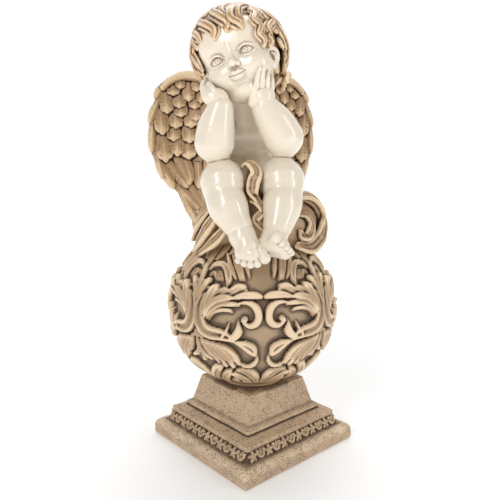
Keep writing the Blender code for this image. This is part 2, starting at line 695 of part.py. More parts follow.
def band_relief(along, up):
    """Height share of the band's carving at shares along one side and up the band:
    flowers with scrolls between them."""
    span = 2 * BAND_TOP_HALF / FLOWERS_PER_SIDE
    x = ((along * FLOWERS_PER_SIDE) % 1.0 - 0.5) * span
    y = (up - 0.5) * BAND_HEIGHT
    flower = max(0.0, 1.0 - math.hypot(x, y) / FLOWER_RADIUS)
    near = span / 2 - abs(x)
    swing = SCROLL_SWING * math.cos(math.pi * near / SCROLL_REACH)
    gap = abs(y - math.copysign(swing, x)) / SCROLL_HALF
    scroll = max(0.0, 1.0 - gap * gap) if near < SCROLL_REACH else 0.0
    edge = min(1.0, 4.0 * min(up, 1.0 - up))
    return max(min(1.0, 2.2 * flower), 0.8 * scroll) * edge


def band_ring(bm, up):
    """One ring round the carved band, with its points pushed out by the carving."""
    ring = []
    height = SLAB_HEIGHT + BAND_HEIGHT * up
    half = BAND_FOOT_HALF + (BAND_TOP_HALF - BAND_FOOT_HALF) * up
    for side in range(4):
        turn = Matrix.Rotation(side * math.pi / 2, 3, "Z")
        for i in range(BAND_POINTS):
            along = i / BAND_POINTS
            out = half + (BAND_RELIEF * band_relief(along, up) if i else 0.0)
            ring.append(bm.verts.new(turn @ Vector((half * (2 * along - 1), -out, height))))
    return ring


def square_ring(bm, height, half):
    """Four corners at one height, in the same order as the band's rings."""
    corners = ((-half, -half), (half, -half), (half, half), (-half, half))
    return [bm.verts.new((x, y, height)) for x, y in corners]


def bridge(bm, low, high):
    """Side faces between two rings. A ring of corners meets a band ring with one face a side."""
    if len(low) == len(high):
        count = len(low)
        for k in range(count):
            after = (k + 1) % count
            bm.faces.new((low[k], low[after], high[after], high[k]))
        return
    few, many, order = (low, high, 1) if len(low) < len(high) else (high, low, -1)
    step = len(many) // 4
    for side in range(4):
        run = [many[(side * step + i) % len(many)] for i in range(step + 1)]
        face = (few[side], few[(side + 1) % 4], *reversed(run))
        bm.faces.new(face[::order])


def build_plinth():
    """The stepped square plinth with the carved band round it."""
    bm = bmesh.new()
    rings = [square_ring(bm, *row) for row in lower_profile()]
    rings += [band_ring(bm, i / BAND_ROWS) for i in range(BAND_ROWS + 1)]
    rings += [square_ring(bm, *row) for row in upper_profile()]
    for low, high in zip(rings, rings[1:]):
        bridge(bm, low, high)
    bm.faces.new(rings[0][::-1])
    bm.faces.new(rings[-1])
    bmesh.ops.rotate(bm, verts=bm.verts, matrix=Matrix.Rotation(PLINTH_TURN, 3, "Z"))
    plinth = object_from(bm, "plinth")
    plinth.data.materials.append(plaster("plinth_plaster", PLASTER_STONE, 0.55))
    return plinth


def main():
    """Builds the two castings."""
    clear_scene()
    build_plinth()
    build_casting()


main()
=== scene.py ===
"""A plaster cherub on a carved ball and plinth, modelled in fine mesh and dressed.

The cherub, its hair, wings and cloth are pressed together in blocks of clay, which are
fields of distance to the surface, and skinned. The ball and the wings are carved as
relief. The plinth is run as a moulding. The clay is in millimetres, with height zero at
the ball's top. The finished meshes are in metres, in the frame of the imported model.
"""

from __future__ import annotations

import logging
import math
from dataclasses import dataclass, field
from enum import Enum
from typing import Callable, Iterable, Sequence

import bmesh
import bpy
import numpy as np
from mathutils import Matrix, Vector


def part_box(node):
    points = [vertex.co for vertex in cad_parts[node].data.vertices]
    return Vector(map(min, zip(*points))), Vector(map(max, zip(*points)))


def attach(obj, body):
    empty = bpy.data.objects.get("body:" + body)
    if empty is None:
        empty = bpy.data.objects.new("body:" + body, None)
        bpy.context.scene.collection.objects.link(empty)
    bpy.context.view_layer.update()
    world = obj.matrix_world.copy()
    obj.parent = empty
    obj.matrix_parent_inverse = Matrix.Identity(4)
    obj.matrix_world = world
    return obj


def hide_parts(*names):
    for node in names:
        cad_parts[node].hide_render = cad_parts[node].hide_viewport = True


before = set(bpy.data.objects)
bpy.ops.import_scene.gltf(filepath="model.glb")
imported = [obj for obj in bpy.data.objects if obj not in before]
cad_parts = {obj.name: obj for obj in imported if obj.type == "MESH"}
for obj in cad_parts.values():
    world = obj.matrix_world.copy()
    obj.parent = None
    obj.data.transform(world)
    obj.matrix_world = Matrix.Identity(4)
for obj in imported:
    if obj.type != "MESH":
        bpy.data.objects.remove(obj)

log = logging.getLogger("angel")
MM = 0.001
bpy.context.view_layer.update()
CASTING = "angel_and_ball"
PLINTH = "plinth"

Array = np.ndarray
Row = Sequence[float]
Measure = Callable[[Array, Array, Array], Array]
Thing = bpy.types.Object
Socket = bpy.types.NodeSocket
Tree = bpy.types.NodeTree


class Part(Enum):
    """Which finish a piece gets."""

    SKIN = "skin"
    HAIR = "hair"
    FEATHER = "feather"
    CLOTH = "cloth"
    BALL = "ball"
    STONE = "stone"


class Profile(Enum):
    """Cross section of a carved stroke on the ball."""

    ROUND = "round"
    CHANNEL = "channel"
    BLADE = "blade"


# Measures shared by the pieces

@dataclass(frozen=True)
class Setting:
    """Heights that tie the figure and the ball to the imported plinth, in millimetres."""

    joint: float = 0.3
    ball_radius: float = 80.5
    ball_foot: float = 19.5

    @property
    def plinth_top(self) -> float:
        """Height of the plinth's top face."""
        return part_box(PLINTH)[1][2] / MM

    @property
    def seat(self) -> float:
        """Height of the casting's underside."""
        return self.plinth_top + self.joint

    @property
    def ball_centre(self) -> float:
        """Height of the ball's centre."""
        return self.seat + math.sqrt(self.ball_radius**2 - self.ball_foot**2)

    @property
    def ball_top(self) -> float:
        """Height of the ball's top, where the figure's heights start."""
        return self.ball_centre + self.ball_radius


SETTING = Setting()


# Curves and turns

def smooth_rows(rows: Sequence[Row], steps: int) -> Array:
    """Reads a smooth curve through rows of numbers.

    Args:
        rows: The rows that the curve passes through.
        steps: How many pieces each stretch is read in.

    Returns:
        One row for each point read.
    """
    points = np.array(rows, float)
    padded = np.vstack([2 * points[0] - points[1], points, 2 * points[-1] - points[-2]])
    share = np.arange(steps)[:, None] / steps
    found = []
    for a, b, c, d in zip(padded, padded[1:], padded[2:], padded[3:]):
        found.append(0.5 * (2 * b + (c - a) * share + (2 * a - 5 * b + 4 * c - d) * share**2
            + (3 * b - a - 3 * c + d) * share**3))
    return np.vstack([*found, points[-1:]])


def sided(side: int, rows: Sequence[Row], middle: float = 0.0) -> list[Row]:
    """Rows whose x is turned to one side, 1 or -1, and counted from the middle."""
    return [(middle + side * x, *rest) for x, *rest in rows]


def turned(axis: str, degrees: float) -> Array:
    """Makes a turn about one axis.

    Args:
        axis: X, Y or Z.
        degrees: How far it turns.

    Returns:
        A matrix that turns column vectors.
    """
    c, s = math.cos(math.radians(degrees)), math.sin(math.radians(degrees))
    if axis == "X":
        return np.array([[1, 0, 0], [0, c, -s], [0, s, c]])
    if axis == "Y":
        return np.array([[c, 0, s], [0, 1, 0], [-s, 0, c]])
    return np.array([[c, -s, 0], [s, c, 0], [0, 0, 1]])


def spread(values: Array, reach: int) -> Array:
    """Blurs a grid twice, with its edges repeated.

    Args:
        values: The grid.
        reach: How many cells each way are taken together.

    Returns:
        The blurred grid.
    """
    for _ in range(2):
        for axis in range(values.ndim):
            edge = [(0, 0)] * values.ndim
            edge[axis] = (reach + 1, reach)
            total = np.cumsum(np.pad(values, edge, mode="edge"), axis=axis)
            upper = np.take(total, np.arange(2 * reach + 1, total.shape[axis]), axis=axis)
            lower = np.take(total, np.arange(0, total.shape[axis] - 2 * reach - 1), axis=axis)
            values = (upper - lower) / (2 * reach + 1)
    return values


def sideways(line: Array, middle: Row) -> tuple[Array, Array]:
    """Finds the directions square to a line at each of its points.

    Args:
        line: Rows that start with (x, y, z).
        middle: The place that the line is seen from.

    Returns:
        The directions away from the middle, and those across the line.
    """
    along = np.gradient(line[:, :3], axis=0)
    along /= np.linalg.norm(along, axis=1, keepdims=True)
    out = line[:, :3] - np.array(middle)
    out -= (out * along).sum(1, keepdims=True) * along
    out /= np.linalg.norm(out, axis=1, keepdims=True)
    return out, np.cross(along, out)


def soft_min(a: Array, b: Array, soft: float) -> Array:
    """Takes the smaller of two distances, blended where they are close.

    Args:
        a: One distance.
        b: The other one.
        soft: How close they are blended.

    Returns:
        The blended distance.
    """
    if soft <= 0:
        return np.minimum(a, b)
    share = np.clip(0.5 + 0.5 * (b - a) / soft, 0, 1)
    return b + (a - b) * share - soft * share * (1 - share)


def without_crumbs(points: Array, faces: Array, least: int = 150) -> tuple[Array, Array]:
    """Drops the small closed shells that blending leaves inside a mass.

    Args:
        points: The skin's points.
        faces: Its faces, as rows of point numbers.
        least: The number of faces from which a shell is kept.

    Returns:
        The points and faces that stay.
    """
    label = np.arange(len(points))
    while True:
        lowest = label[faces].min(1)
        after = label.copy()
        for corner in faces.T:
            np.minimum.at(after, corner, lowest)
        after = after[after]
        if np.array_equal(after, label):
            break
        label = after
    owner = label[faces[:, 0]]
    faces = faces[np.bincount(owner, minlength=len(points))[owner] >= least]
    used = np.unique(faces)
    number = np.full(len(points), -1)
    number[used] = np.arange(len(used))
    return points[used], number[faces]


# Clay

class Clay:
    """A block of clay: a grid of distances to the surface, below zero inside."""

    FAR = 14.0

    def __init__(self, low: Row, high: Row, step: float) -> None:
        """Makes an empty block.

        Args:
            low: Lowest corner in millimetres.
            high: Highest corner in millimetres.
            step: Spacing of the grid in millimetres.
        """
        self.step = step
        self.low = np.array(low, np.float32)
        self.count = np.ceil((np.array(high) - self.low) / step).astype(int) + 1
        self.gap = np.full(self.count, self.FAR, np.float32)
        self.axes = [
            self.low[k] + np.float32(step) * np.arange(self.count[k], dtype=np.float32) for k in range(3)
        ]

    def window(self, low: Array, high: Array) -> tuple[tuple[slice, ...], list[Array]]:
        """Finds the part of the grid between two corners.

        Args:
            low: Lowest corner.
            high: Highest corner.

        Returns:
            The part as slices, and its coordinates along each axis.
        """
        first = np.clip(np.floor((low - self.low) / self.step).astype(int), 0, self.count)
        last = np.clip(np.ceil((high - self.low) / self.step).astype(int) + 1, 0, self.count)
        where = tuple(slice(int(a), int(b)) for a, b in zip(first, last))
        shapes = ((-1, 1, 1), (1, -1, 1), (1, 1, -1))
        return where, [self.axes[k][where[k]].reshape(shapes[k]) for k in range(3)]

    def press(self, low: Array, high: Array, measure: Measure, soft: float, cut: bool) -> None:
        """Adds or cuts away a shape.

        Args:
            low: Lowest corner of the shape.
            high: Highest corner of the shape.
            measure: Gives the distance to the shape at coordinates.
            soft: How far the join is blended.
            cut: Whether the shape is cut away.
        """
        pad = soft + 2 * self.step
        where, grids = self.window(np.asarray(low) - pad, np.asarray(high) + pad)
        if any(part.stop <= part.start for part in where):
            return
        new = measure(*grids)
        old = self.gap[where]
        self.gap[where] = -soft_min(-old, new, soft) if cut else soft_min(old, new, soft)

    def egg(self, centre: Row, radii: Row, soft: float = 3.0, turn: Array | None = None,
            cut: bool = False) -> None:
        """Adds or cuts away an ellipsoid.

        Args:
            centre: Its middle.
            radii: Its half sizes.
            soft: How far the join is blended.
            turn: Its own axes as columns, if it is turned.
            cut: Whether it is cut away.
        """
        middle, sizes = np.array(centre, float), np.array(radii, float)
        axes = np.eye(3) if turn is None else turn
        reach = np.sqrt(((axes * sizes) ** 2).sum(1))

        def measure(x: Array, y: Array, z: Array) -> Array:
            """Distance to the ellipsoid, nearly."""
            near = far = 0.0
            for k in range(3):
                own = (x - middle[0]) * axes[0, k] + (y - middle[1]) * axes[1,
                    k] + (z - middle[2]) * axes[2, k]
                near = near + (own / sizes[k]) ** 2
                far = far + (own / sizes[k] ** 2) ** 2
            near, far = np.sqrt(near), np.sqrt(far)
            return near * (near - 1) / np.maximum(far, 1e-6)

        self.press(middle - reach, middle + reach, measure, soft, cut)

    def cord(self, rows: Sequence[Row], soft: float = 3.0, steps: int = 1, cut: bool = False,
            out: Array | None = None, flat: float = 1.0, run: int = 40) -> None:
        """Adds or cuts a round-ended cord through rows of (x, y, z, radius).

        Args:
            rows: Points and radii.
            soft: How far the join is blended.
            steps: How many pieces each stretch is read in.
            cut: Whether the cord is cut away.
            out: Direction in which the cord is flattened, if it is.
            flat: Its thickness in that direction, as a share of its width.
            run: How many stretches are pressed in together.
        """
        line = smooth_rows(rows, steps) if steps > 1 else np.array(rows, float)
        for start in range(0, len(line) - 1, run):
            self._press_run(line[start:start + run + 1], soft, cut, out, flat)

    def _press_run(self, line: Array, soft: float, cut: bool, out: Array | None, flat: float) -> None:
        """Presses one run of a cord's stretches in together.

        Args:
            line: Rows of (x, y, z, radius).
            soft: How far the join is blended.
            cut: Whether the run is cut away.
            out: Direction in which it is flattened, if it is.
            flat: Its thickness in that direction, as a share of its width.
        """
        reach = line[:, 3:4]

        def measure(x: Array, y: Array, z: Array) -> Array:
            """Distance to the nearest stretch."""
            best = None
            for a, b in zip(line, line[1:]):
                way = b[:3] - a[:3]
                span = max(float(way @ way), 1e-9)
                t = ((x - a[0]) * way[0] + (y - a[1]) * way[1] + (z - a[2]) * way[2]) / span
                t = np.clip(t, 0, 1)
                dx, dy, dz = x - a[0] - t * way[0], y - a[1] - t * way[1], z - a[2] - t * way[2]
                square = dx * dx + dy * dy + dz * dz
                if out is not None:
                    rise = dx * out[0] + dy * out[1] + dz * out[2]
                    square = square + rise * rise * (1 / flat**2 - 1)
                new = np.sqrt(square) - (a[3] + t * (b[3] - a[3]))
                best = new if best is None else np.minimum(best, new)
            return best if out is None else best * (0.5 + 0.5 * flat)

        self.press((line[:, :3] - reach).min(0), (line[:, :3] + reach).max(0), measure, soft, cut)

    def holds(self, points: Array) -> Array:
        """Whether each point lies in the clay."""
        cell = np.rint((points - self.low) / self.step).astype(int)
        known = ((cell >= 0) & (cell < np.array(self.gap.shape))).all(1)
        inside = np.zeros(len(points), bool)
        inside[known] = self.gap[tuple(cell[known].T)] < 0
        return inside

    def skin(self) -> tuple[Array, Array]:
        """Skins the clay.

        Returns:
            Points in millimetres, and faces of four points each, turned outwards.
        """
        gap = self.gap
        inside = gap < 0
        filled = np.zeros(np.array(gap.shape) - 1, np.uint8)
        for i, j, k in np.ndindex(2, 2, 2):
            filled += inside[i:gap.shape[0] - 1 + i, j:gap.shape[1] - 1 + j, k:gap.shape[2] - 1 + k]
        mixed = (filled > 0) & (filled < 8)
        cells = np.argwhere(mixed)
        number = np.full(mixed.shape, -1, np.int32)
        number[mixed] = np.arange(len(cells), dtype=np.int32)
        place, hits = np.zeros((len(cells), 3)), np.zeros(len(cells))
        faces = []
        for axis in range(3):
            one, two, three = np.roll(np.eye(3, dtype=int), -axis, 0)
            for side in ((0, 0), (0, 1), (1, 0), (1, 1)):
                off = np.insert(np.array(side), axis, 0)
                a = gap[tuple((cells + off).T)]
                b = gap[tuple((cells + off + one).T)]
                cross = (a < 0) != (b < 0)
                t = a[cross] / (a[cross] - b[cross])
                place[cross] += off + t[:, None] * one
                hits[cross] += 1
            low = tuple(slice(0, n - 1) if k == axis else slice(1, n - 1) for k, n in enumerate(gap.shape))
            high = tuple(slice(1, n) if k == axis else slice(1, n - 1) for k, n in enumerate(gap.shape))
            a, b = inside[low], inside[high]
            for leaving in (True, False):
                found = np.argwhere(a & ~b if leaving else ~a & b) + (1 - one)
                ring = [number[tuple((found - p * two - q * three).T)] for p,
                    q in ((1, 1), (0, 1), (0, 0), (1, 0))]
                quad = np.stack(ring, 1)
                faces.append(quad if leaving else quad[:, ::-1])
        points = (cells + place / np.maximum(hits, 1)[:, None]) * self.step + self.low
        return without_crumbs(points, np.vstack(faces))


# Meshes

@dataclass
class Skin:
    """Points and faces of one piece, with the masks that its finish reads."""

    points: Array
    faces: Array
    masks: dict[str, Array] = field(default_factory=dict)
    holds: list[Callable[[Array], Array]] = field(default_factory=list)

    # Depth of a full hollow among small forms, as a share of that among large ones,
    # and how much the weaker of the two adds to the stronger
    FINE_DEPTH = 0.16
    LESSER_SHARE = 0.35

    @classmethod
    def of(cls, clay: Clay, rounds: int, relief: tuple[int, int, float]) -> Skin:
        """Skins a block of clay and reads its relief.

        Args:
            clay: The block.
            rounds: How often the skin is settled.
            relief: What read_relief is given.

        Returns:
            The skin, with its masks.
        """
        skin = cls(*clay.skin(), holds=[clay.holds])
        skin.settle(rounds)
        skin.read_relief(*relief)
        return skin

    def links(self) -> Array:
        """Pairs of points that share a face's edge."""
        return np.vstack([self.faces[:, [k, (k + 1) % 4]] for k in range(4)])

    def normals(self) -> Array:
        """Unit normals at the points."""
        p, f = self.points, self.faces
        flat = np.cross(p[f[:, 2]] - p[f[:, 0]], p[f[:, 3]] - p[f[:, 1]])
        total = np.zeros_like(p)
        for corner in range(4):
            for k in range(3):
                total[:, k] += np.bincount(f[:, corner], flat[:, k], len(p))
        return total / np.maximum(np.linalg.norm(total, axis=1, keepdims=True), 1e-9)

    def relaxed(self, values: Array, rounds: int, share: float = 0.5) -> Array:
        """Draws values at the points towards their neighbours' mean.

        Args:
            values: One value or row for each point.
            rounds: How often it is done.
            share: How far each value goes.

        Returns:
            The new values.
        """
        pairs = self.links()
        valence = np.bincount(pairs.ravel(), minlength=len(self.points)).astype(float)
        now = values.astype(float).copy()
        columns = now.reshape(len(now), -1)
        for _ in range(rounds):
            for k in range(columns.shape[1]):
                total = np.bincount(pairs[:, 0], columns[pairs[:, 1], k], len(now))
                total += np.bincount(pairs[:, 1], columns[pairs[:, 0], k], len(now))
                columns[:, k] += share * (total / np.maximum(valence, 1) - columns[:, k])
        return now

    def settle(self, rounds: int) -> None:
        """Smooths the points a little without shrinking them much."""
        for _ in range(rounds):
            self.points = self.relaxed(self.points, 1, 0.5)
            self.points = self.relaxed(self.points, 1, -0.45)

    def read_relief(self, fine: int, broad: int, depth: float) -> None:
        """Finds hollows and crests, and keeps them as masks.

        Args:
            fine: Rounds of smoothing for the small forms.
            broad: Rounds of smoothing for the large forms.
            depth: How many millimetres below its surroundings a point is fully in a hollow.
        """
        normals = self.normals()
        near = self.relaxed(self.points, fine)
        wide = self.relaxed(near, broad)
        close = ((near - self.points) * normals).sum(1) / (self.FINE_DEPTH * depth)
        far = ((wide - self.points) * normals).sum(1) / depth
        dip = self.relaxed(np.maximum(close, far) + self.LESSER_SHARE * np.minimum(close, far), 1)
        self.masks["recess"] = np.clip(dip, 0, 1)
        self.masks["crest"] = np.clip(-dip, 0, 1)

    def ink(self, lines: Sequence[Array], width: float, depth: float = 5.0) -> None:
        """Lets the wash settle along lines seen from the front.

        Args:
            lines: Rows of (x, y, z, strength).
            width: Half width of a line in millimetres.
            depth: How far in y the surface may lie from the line.
        """
        recess = self.masks["recess"]
        margin = np.array([2 * width, depth, 2 * width])
        for line in lines:
            low, high = line[:, :3].min(0) - margin, line[:, :3].max(0) + margin
            near = np.flatnonzero(((self.points > low) & (self.points < high)).all(1))
            at = self.points[near][:, [0, 2]]
            for a, b in zip(line, line[1:]):
                start, way = a[[0, 2]], b[[0, 2]] - a[[0, 2]]
                t = np.clip((at - start) @ way / max(float(way @ way), 1e-9), 0, 1)
                gap = np.linalg.norm(at - start - t[:, None] * way, axis=1)
                recess[near] = np.maximum(recess[near], a[3] * np.clip(1.6 - 1.6 * gap / width, 0, 1))

    def piece(self, name: str, lift: float) -> Thing:
        """Makes a scene object of the piece.

        Args:
            name: The object's name.
            lift: Height in millimetres that is added to the points.

        Returns:
            The object, with its place in its mesh.
        """
        mesh = bpy.data.meshes.new(name)
        count = len(self.faces)
        mesh.vertices.add(len(self.points))
        mesh.vertices.foreach_set("co", ((self.points + [0, 0, lift]) * MM).astype(np.float32).ravel())
        mesh.loops.add(count * 4)
        mesh.loops.foreach_set("vertex_index", self.faces.astype(np.int32).ravel())
        mesh.polygons.add(count)
        mesh.polygons.foreach_set("loop_start", np.arange(0, count * 4, 4, dtype=np.int32))
        mesh.update(calc_edges=True)
        for label, values in self.masks.items():
            mask = mesh.attributes.new(label, "FLOAT", "POINT")
            mask.data.foreach_set("value", values.astype(np.float32))
        mesh.shade_smooth()
        return shown(name, mesh)


def shown(name: str, data: bpy.types.ID) -> Thing:
    """Puts a new object in the scene.

    Args:
        name: Its name.
        data: Its mesh, camera or light.

    Returns:
        The object.
    """
    made = bpy.data.objects.new(name, data)
    bpy.context.scene.collection.objects.link(made)
    return made


class Mass:
    """A coarse map of where there is plaster, which tells how shut in each point is, for the wash and
    painted shade between parts.
    """

    def __init__(self, low: Row, high: Row, step: float) -> None:
        """Makes an empty map.

        Args:
            low: Lowest corner in millimetres.
            high: Highest corner in millimetres.
            step: Spacing of the map in millimetres.
        """
        self.low, self.step = np.array(low, float), step
        self.count = np.ceil((np.array(high) - self.low) / step).astype(int)
        self.full = np.zeros(self.count, np.float32)

    def add(self, holds: Callable[[Array], Array], low: Array, high: Array) -> None:
        """Marks the places that a piece fills.

        Args:
            holds: Tells whether points lie in the piece.
            low: Lowest corner of the piece.
            high: Highest corner of the piece.
        """
        first = np.clip(((low - self.low) / self.step).astype(int), 0, self.count)
        last = np.clip(((high - self.low) / self.step).astype(int) + 2, 0, self.count)
        axes = [np.arange(a, b) for a, b in zip(first, last)]
        cells = np.stack(np.meshgrid(*axes, indexing="ij"), -1)
        inside = holds(self.low + (cells.reshape(-1, 3) + 0.5) * self.step).reshape(cells.shape[:3])
        where = tuple(slice(a, b) for a, b in zip(first, last))
        self.full[where] = np.maximum(self.full[where], inside)

    def shut_in(self, points: Array, normals: Array, blur: Array, off: float) -> Array:
        """Tells how much plaster stands round each point, seen a little way off its surface.

        Args:
            points: The points.
            normals: The surface's normals there.
            blur: The map, blurred.
            off: How far off the surface the map is read, in millimetres.

        Returns:
            The share of plaster at each point.
        """
        place = (points + normals * off - self.low) / self.step - 0.5
        place = np.clip(place, 0, np.array(self.count) - 1.001)
        cell = place.astype(int)
        part = place - cell
        total = np.zeros(len(place))
        for i, j, k in np.ndindex(2, 2, 2):
            weight = np.prod(np.where((i, j, k), part, 1 - part), axis=1)
            total += weight * blur[cell[:, 0] + i, cell[:, 1] + j, cell[:, 2] + k]
        return total


def bands(number: Array) -> Array:
    """Faces between the rows of a grid of point numbers that closes on itself sideways."""
    after = np.roll(number, -1, 1)
    return np.stack([number[:-1], after[:-1], after[1:], number[1:]], -1).reshape(-1, 4)


def joined(skins: list[Skin]) -> Skin:
    """Joins several skins.

    Args:
        skins: The skins, with the same masks.

    Returns:
        One skin.
    """
    starts = np.cumsum([0] + [len(skin.points) for skin in skins])
    faces = np.vstack([skin.faces + start for skin, start in zip(skins, starts)])
    masks = {
        label: np.concatenate([skin.masks[label] for skin in skins]) for label in skins[0].masks
    }
    holds = [hold for skin in skins for hold in skin.holds]
    return Skin(np.vstack([skin.points for skin in skins]), faces, masks, holds)


# Nodes

class Wiring:
    """Puts nodes in one tree and joins them up."""

    def __init__(self, tree: Tree) -> None:
        """Takes the tree to work in."""
        self.tree = tree

    def feed(self, socket: Socket, value: object) -> None:
        """Joins a socket to another one, or sets its own value.

        Args:
            socket: The socket that is fed.
            value: Another socket, a number, a colour of three numbers, or a vector.
        """
        if isinstance(value, bpy.types.NodeSocket):
            self.tree.links.new(value, socket)
        elif socket.type == "RGBA":
            socket.default_value = (*value, 1.0)
        else:
            socket.default_value = value

    def node(self, kind: str, inputs: dict | None = None, **settings: object) -> bpy.types.Node:
        """Adds a node.

        Args:
            kind: The node's type.
            inputs: What its inputs are fed, by name or number.
            settings: Its other settings.

        Returns:
            The node.
        """
        made = self.tree.nodes.new(kind)
        for label, value in settings.items():
            setattr(made, label, value)
        for label, value in (inputs or {}).items():
            self.feed(made.inputs[label], value)
        return made

    def math(self, operation: str, *values: object) -> Socket:
        """A maths node on sockets or numbers."""
        return self.node("ShaderNodeMath", dict(enumerate(values)), operation=operation).outputs[0]

    def mix(self, factor: object, first: object, second: object) -> Socket:
        """A colour mix of sockets or colours."""
        return self.node("ShaderNodeMix", {0: factor, 6: first, 7: second}, data_type="RGBA").outputs[2]

    def ramp(self, value: Socket, low: float, high: float, floor: float = 0.0, roof: float = 1.0) -> Socket:
        """A soft step from floor at low to roof at high."""
        sizes = {"Value": value, "From Min": low, "From Max": high, "To Min": floor, "To Max": roof}
        return self.node("ShaderNodeMapRange", sizes, interpolation_type="SMOOTHSTEP").outputs["Result"]

    def place(self) -> Socket:
        """The object's own coordinates, which are in metres."""
        return self.node("ShaderNodeTexCoord").outputs["Object"]

    def noise(self, scale: float, detail: float) -> Socket:
        """Noise on the object's own coordinates."""
        sizes = {"Vector": self.place(), "Scale": scale, "Detail": detail}
        return self.node("ShaderNodeTexNoise", sizes).outputs["Fac"]


def new_tree(name: str, kind: str, inputs: dict[str, str], outputs: dict[str, str]) -> tuple[Tree,
        dict[str, str]]:
    """Makes a node group with named sockets.

    Args:
        name: The group's name.
        kind: The type of tree.
        inputs: The kind of each input, by its name.
        outputs: The kind of each output, by its name.

    Returns:
        The tree, and the inputs' identifiers by name.
    """
    tree = bpy.data.node_groups.new(name, kind)
    found = {}
    for way, sockets in (("INPUT", inputs), ("OUTPUT", outputs)):
        for label, sort in sockets.items():
            socket = tree.interface.new_socket(label, in_out=way, socket_type=f"NodeSocket{sort}")
            if way == "INPUT":
                found[label] = socket.identifier
    return tree, found


class Repeater:
    """A tree that lays a piece out in a row and turns the row round the upright axis."""

    WELD = 2e-6

    def __init__(self) -> None:
        """Builds the tree once."""
        self.tree, self.sockets = new_tree(
            "row_and_turn", "GeometryNodeTree",
            {"Geometry": "Geometry", "Count": "Int", "Spacing": "Float", "Sides": "Int",
                "Finish": "Material"},
            {"Geometry": "Geometry"},
        )
        self.wires = Wiring(self.tree)
        given = self.wires.node("NodeGroupInput").outputs
        offset = self.wires.node("ShaderNodeCombineXYZ", {"X": given["Spacing"]}).outputs[0]
        row = self._copies(given["Count"], offset, given["Geometry"], None)
        turn = self.wires.math("DIVIDE", math.tau, given["Sides"])
        ring = self._copies(given["Sides"], (0, 0, 0), row, turn)
        welded = self.wires.node("GeometryNodeMergeByDistance", {"Geometry": ring, "Distance": self.WELD})
        dress = {"Geometry": welded.outputs["Geometry"], "Material": given["Finish"]}
        dressed = self.wires.node("GeometryNodeSetMaterial", dress).outputs["Geometry"]
        self.wires.node("NodeGroupOutput", {"Geometry": dressed})

    def _copies(self, count: Socket, offset: object, unit: Socket, turn: Socket | None) -> Socket:
        """Copies a unit along a line of points.

        Args:
            count: How many copies there are.
            offset: The step from one point to the next.
            unit: What is copied.
            turn: The angle that each copy is turned past the one before, if it is.

        Returns:
            The copies, made real.
        """
        line = self.wires.node("GeometryNodeMeshLine", {"Count": count, "Offset": offset})
        inputs = {"Points": line.outputs["Mesh"], "Instance": unit}
        if turn is not None:
            angle = self.wires.math("MULTIPLY", self.wires.node("GeometryNodeInputIndex").outputs[0], turn)
            inputs["Rotation"] = self.wires.node("ShaderNodeCombineXYZ", {"Z": angle}).outputs[0]
        placed = self.wires.node("GeometryNodeInstanceOnPoints", inputs).outputs["Instances"]
        return self.wires.node("GeometryNodeRealizeInstances", {"Geometry": placed}).outputs["Geometry"]

    def repeat(self, unit: Thing, name: str, count: int, spacing: float, sides: int,
            finish: bpy.types.Material) -> Thing:
        """Repeats a unit and returns the result as a plain mesh object.

        Args:
            unit: The object to repeat, which is used up.
            name: Name of the new piece.
            count: Copies in a row along X.
            spacing: Their spacing in metres.
            sides: Copies of the row round the upright axis.
            finish: The piece's material.

        Returns:
            The new piece.
        """
        maker = unit.modifiers.new("Repeat", "NODES")
        maker.node_group = self.tree
        for label, value in (("Count", count), ("Spacing", spacing), ("Sides", sides), ("Finish", finish)):
            maker[self.sockets[label]] = value
        bpy.context.view_layer.update()
        mesh = bpy.data.meshes.new_from_object(unit.evaluated_get(bpy.context.evaluated_depsgraph_get()))
        mesh.name = name
        bpy.data.objects.remove(unit, do_unlink=True)
        return shown(name, mesh)


# Finishes

Colour = tuple[float, float, float]


def rgb(red: int, green: int, blue: int) -> Colour:
    """A colour as seen on a screen, from 0 to 255, made linear for the shader."""
    return tuple(((c / 255 + 0.055) / 1.055) ** 2.4 if c > 10 else c / 255 / 12.92
        for c in (red, green, blue))


@dataclass(frozen=True)
class Finish:
    """An antique plaster finish."""

    name: str
    light: Colour
    middle: Colour
    dark: Colour
    shade: float
    roughness: float
    mottle: float
    coat: float = 0.0
    grain: float = 0.0
    pits: float = 0.0
    pit_spacing: float = 3.5


FINISHES = {
    Part.SKIN: Finish("ivory_glaze", rgb(240, 231, 216), rgb(232, 220, 200), rgb(128, 92, 60), shade=1.0,
        roughness=0.27, mottle=0.08, coat=0.45),
    Part.HAIR: Finish("golden_tan_wash", rgb(230, 202, 164), rgb(178, 144, 108), rgb(48, 32, 18),
        shade=0.75, roughness=0.32, mottle=0.3, coat=0.3, grain=0.05),
    Part.FEATHER: Finish("feather_tan_wash", rgb(228, 200, 162), rgb(174, 142, 106), rgb(48, 31, 19),
        shade=0.8, roughness=0.46, mottle=0.6, grain=0.25, pits=0.25),
    Part.CLOTH: Finish("cloth_tan_wash", rgb(232, 206, 170), rgb(178, 148, 114), rgb(50, 34, 22),
        shade=0.9, roughness=0.4, mottle=0.6, grain=0.2, pits=0.25),
    Part.BALL: Finish("carved_tan_wash", rgb(236, 210, 176), rgb(186, 156, 122), rgb(50, 34, 22),
        shade=0.7, roughness=0.46, mottle=0.6, grain=0.25, pits=0.4),
    Part.STONE: Finish("pitted_plaster", rgb(236, 212, 180), rgb(204, 176, 144), rgb(60, 42, 28),
        shade=0.0, roughness=0.55, mottle=0.8, grain=0.35, pits=1.0, pit_spacing=2.1),
}


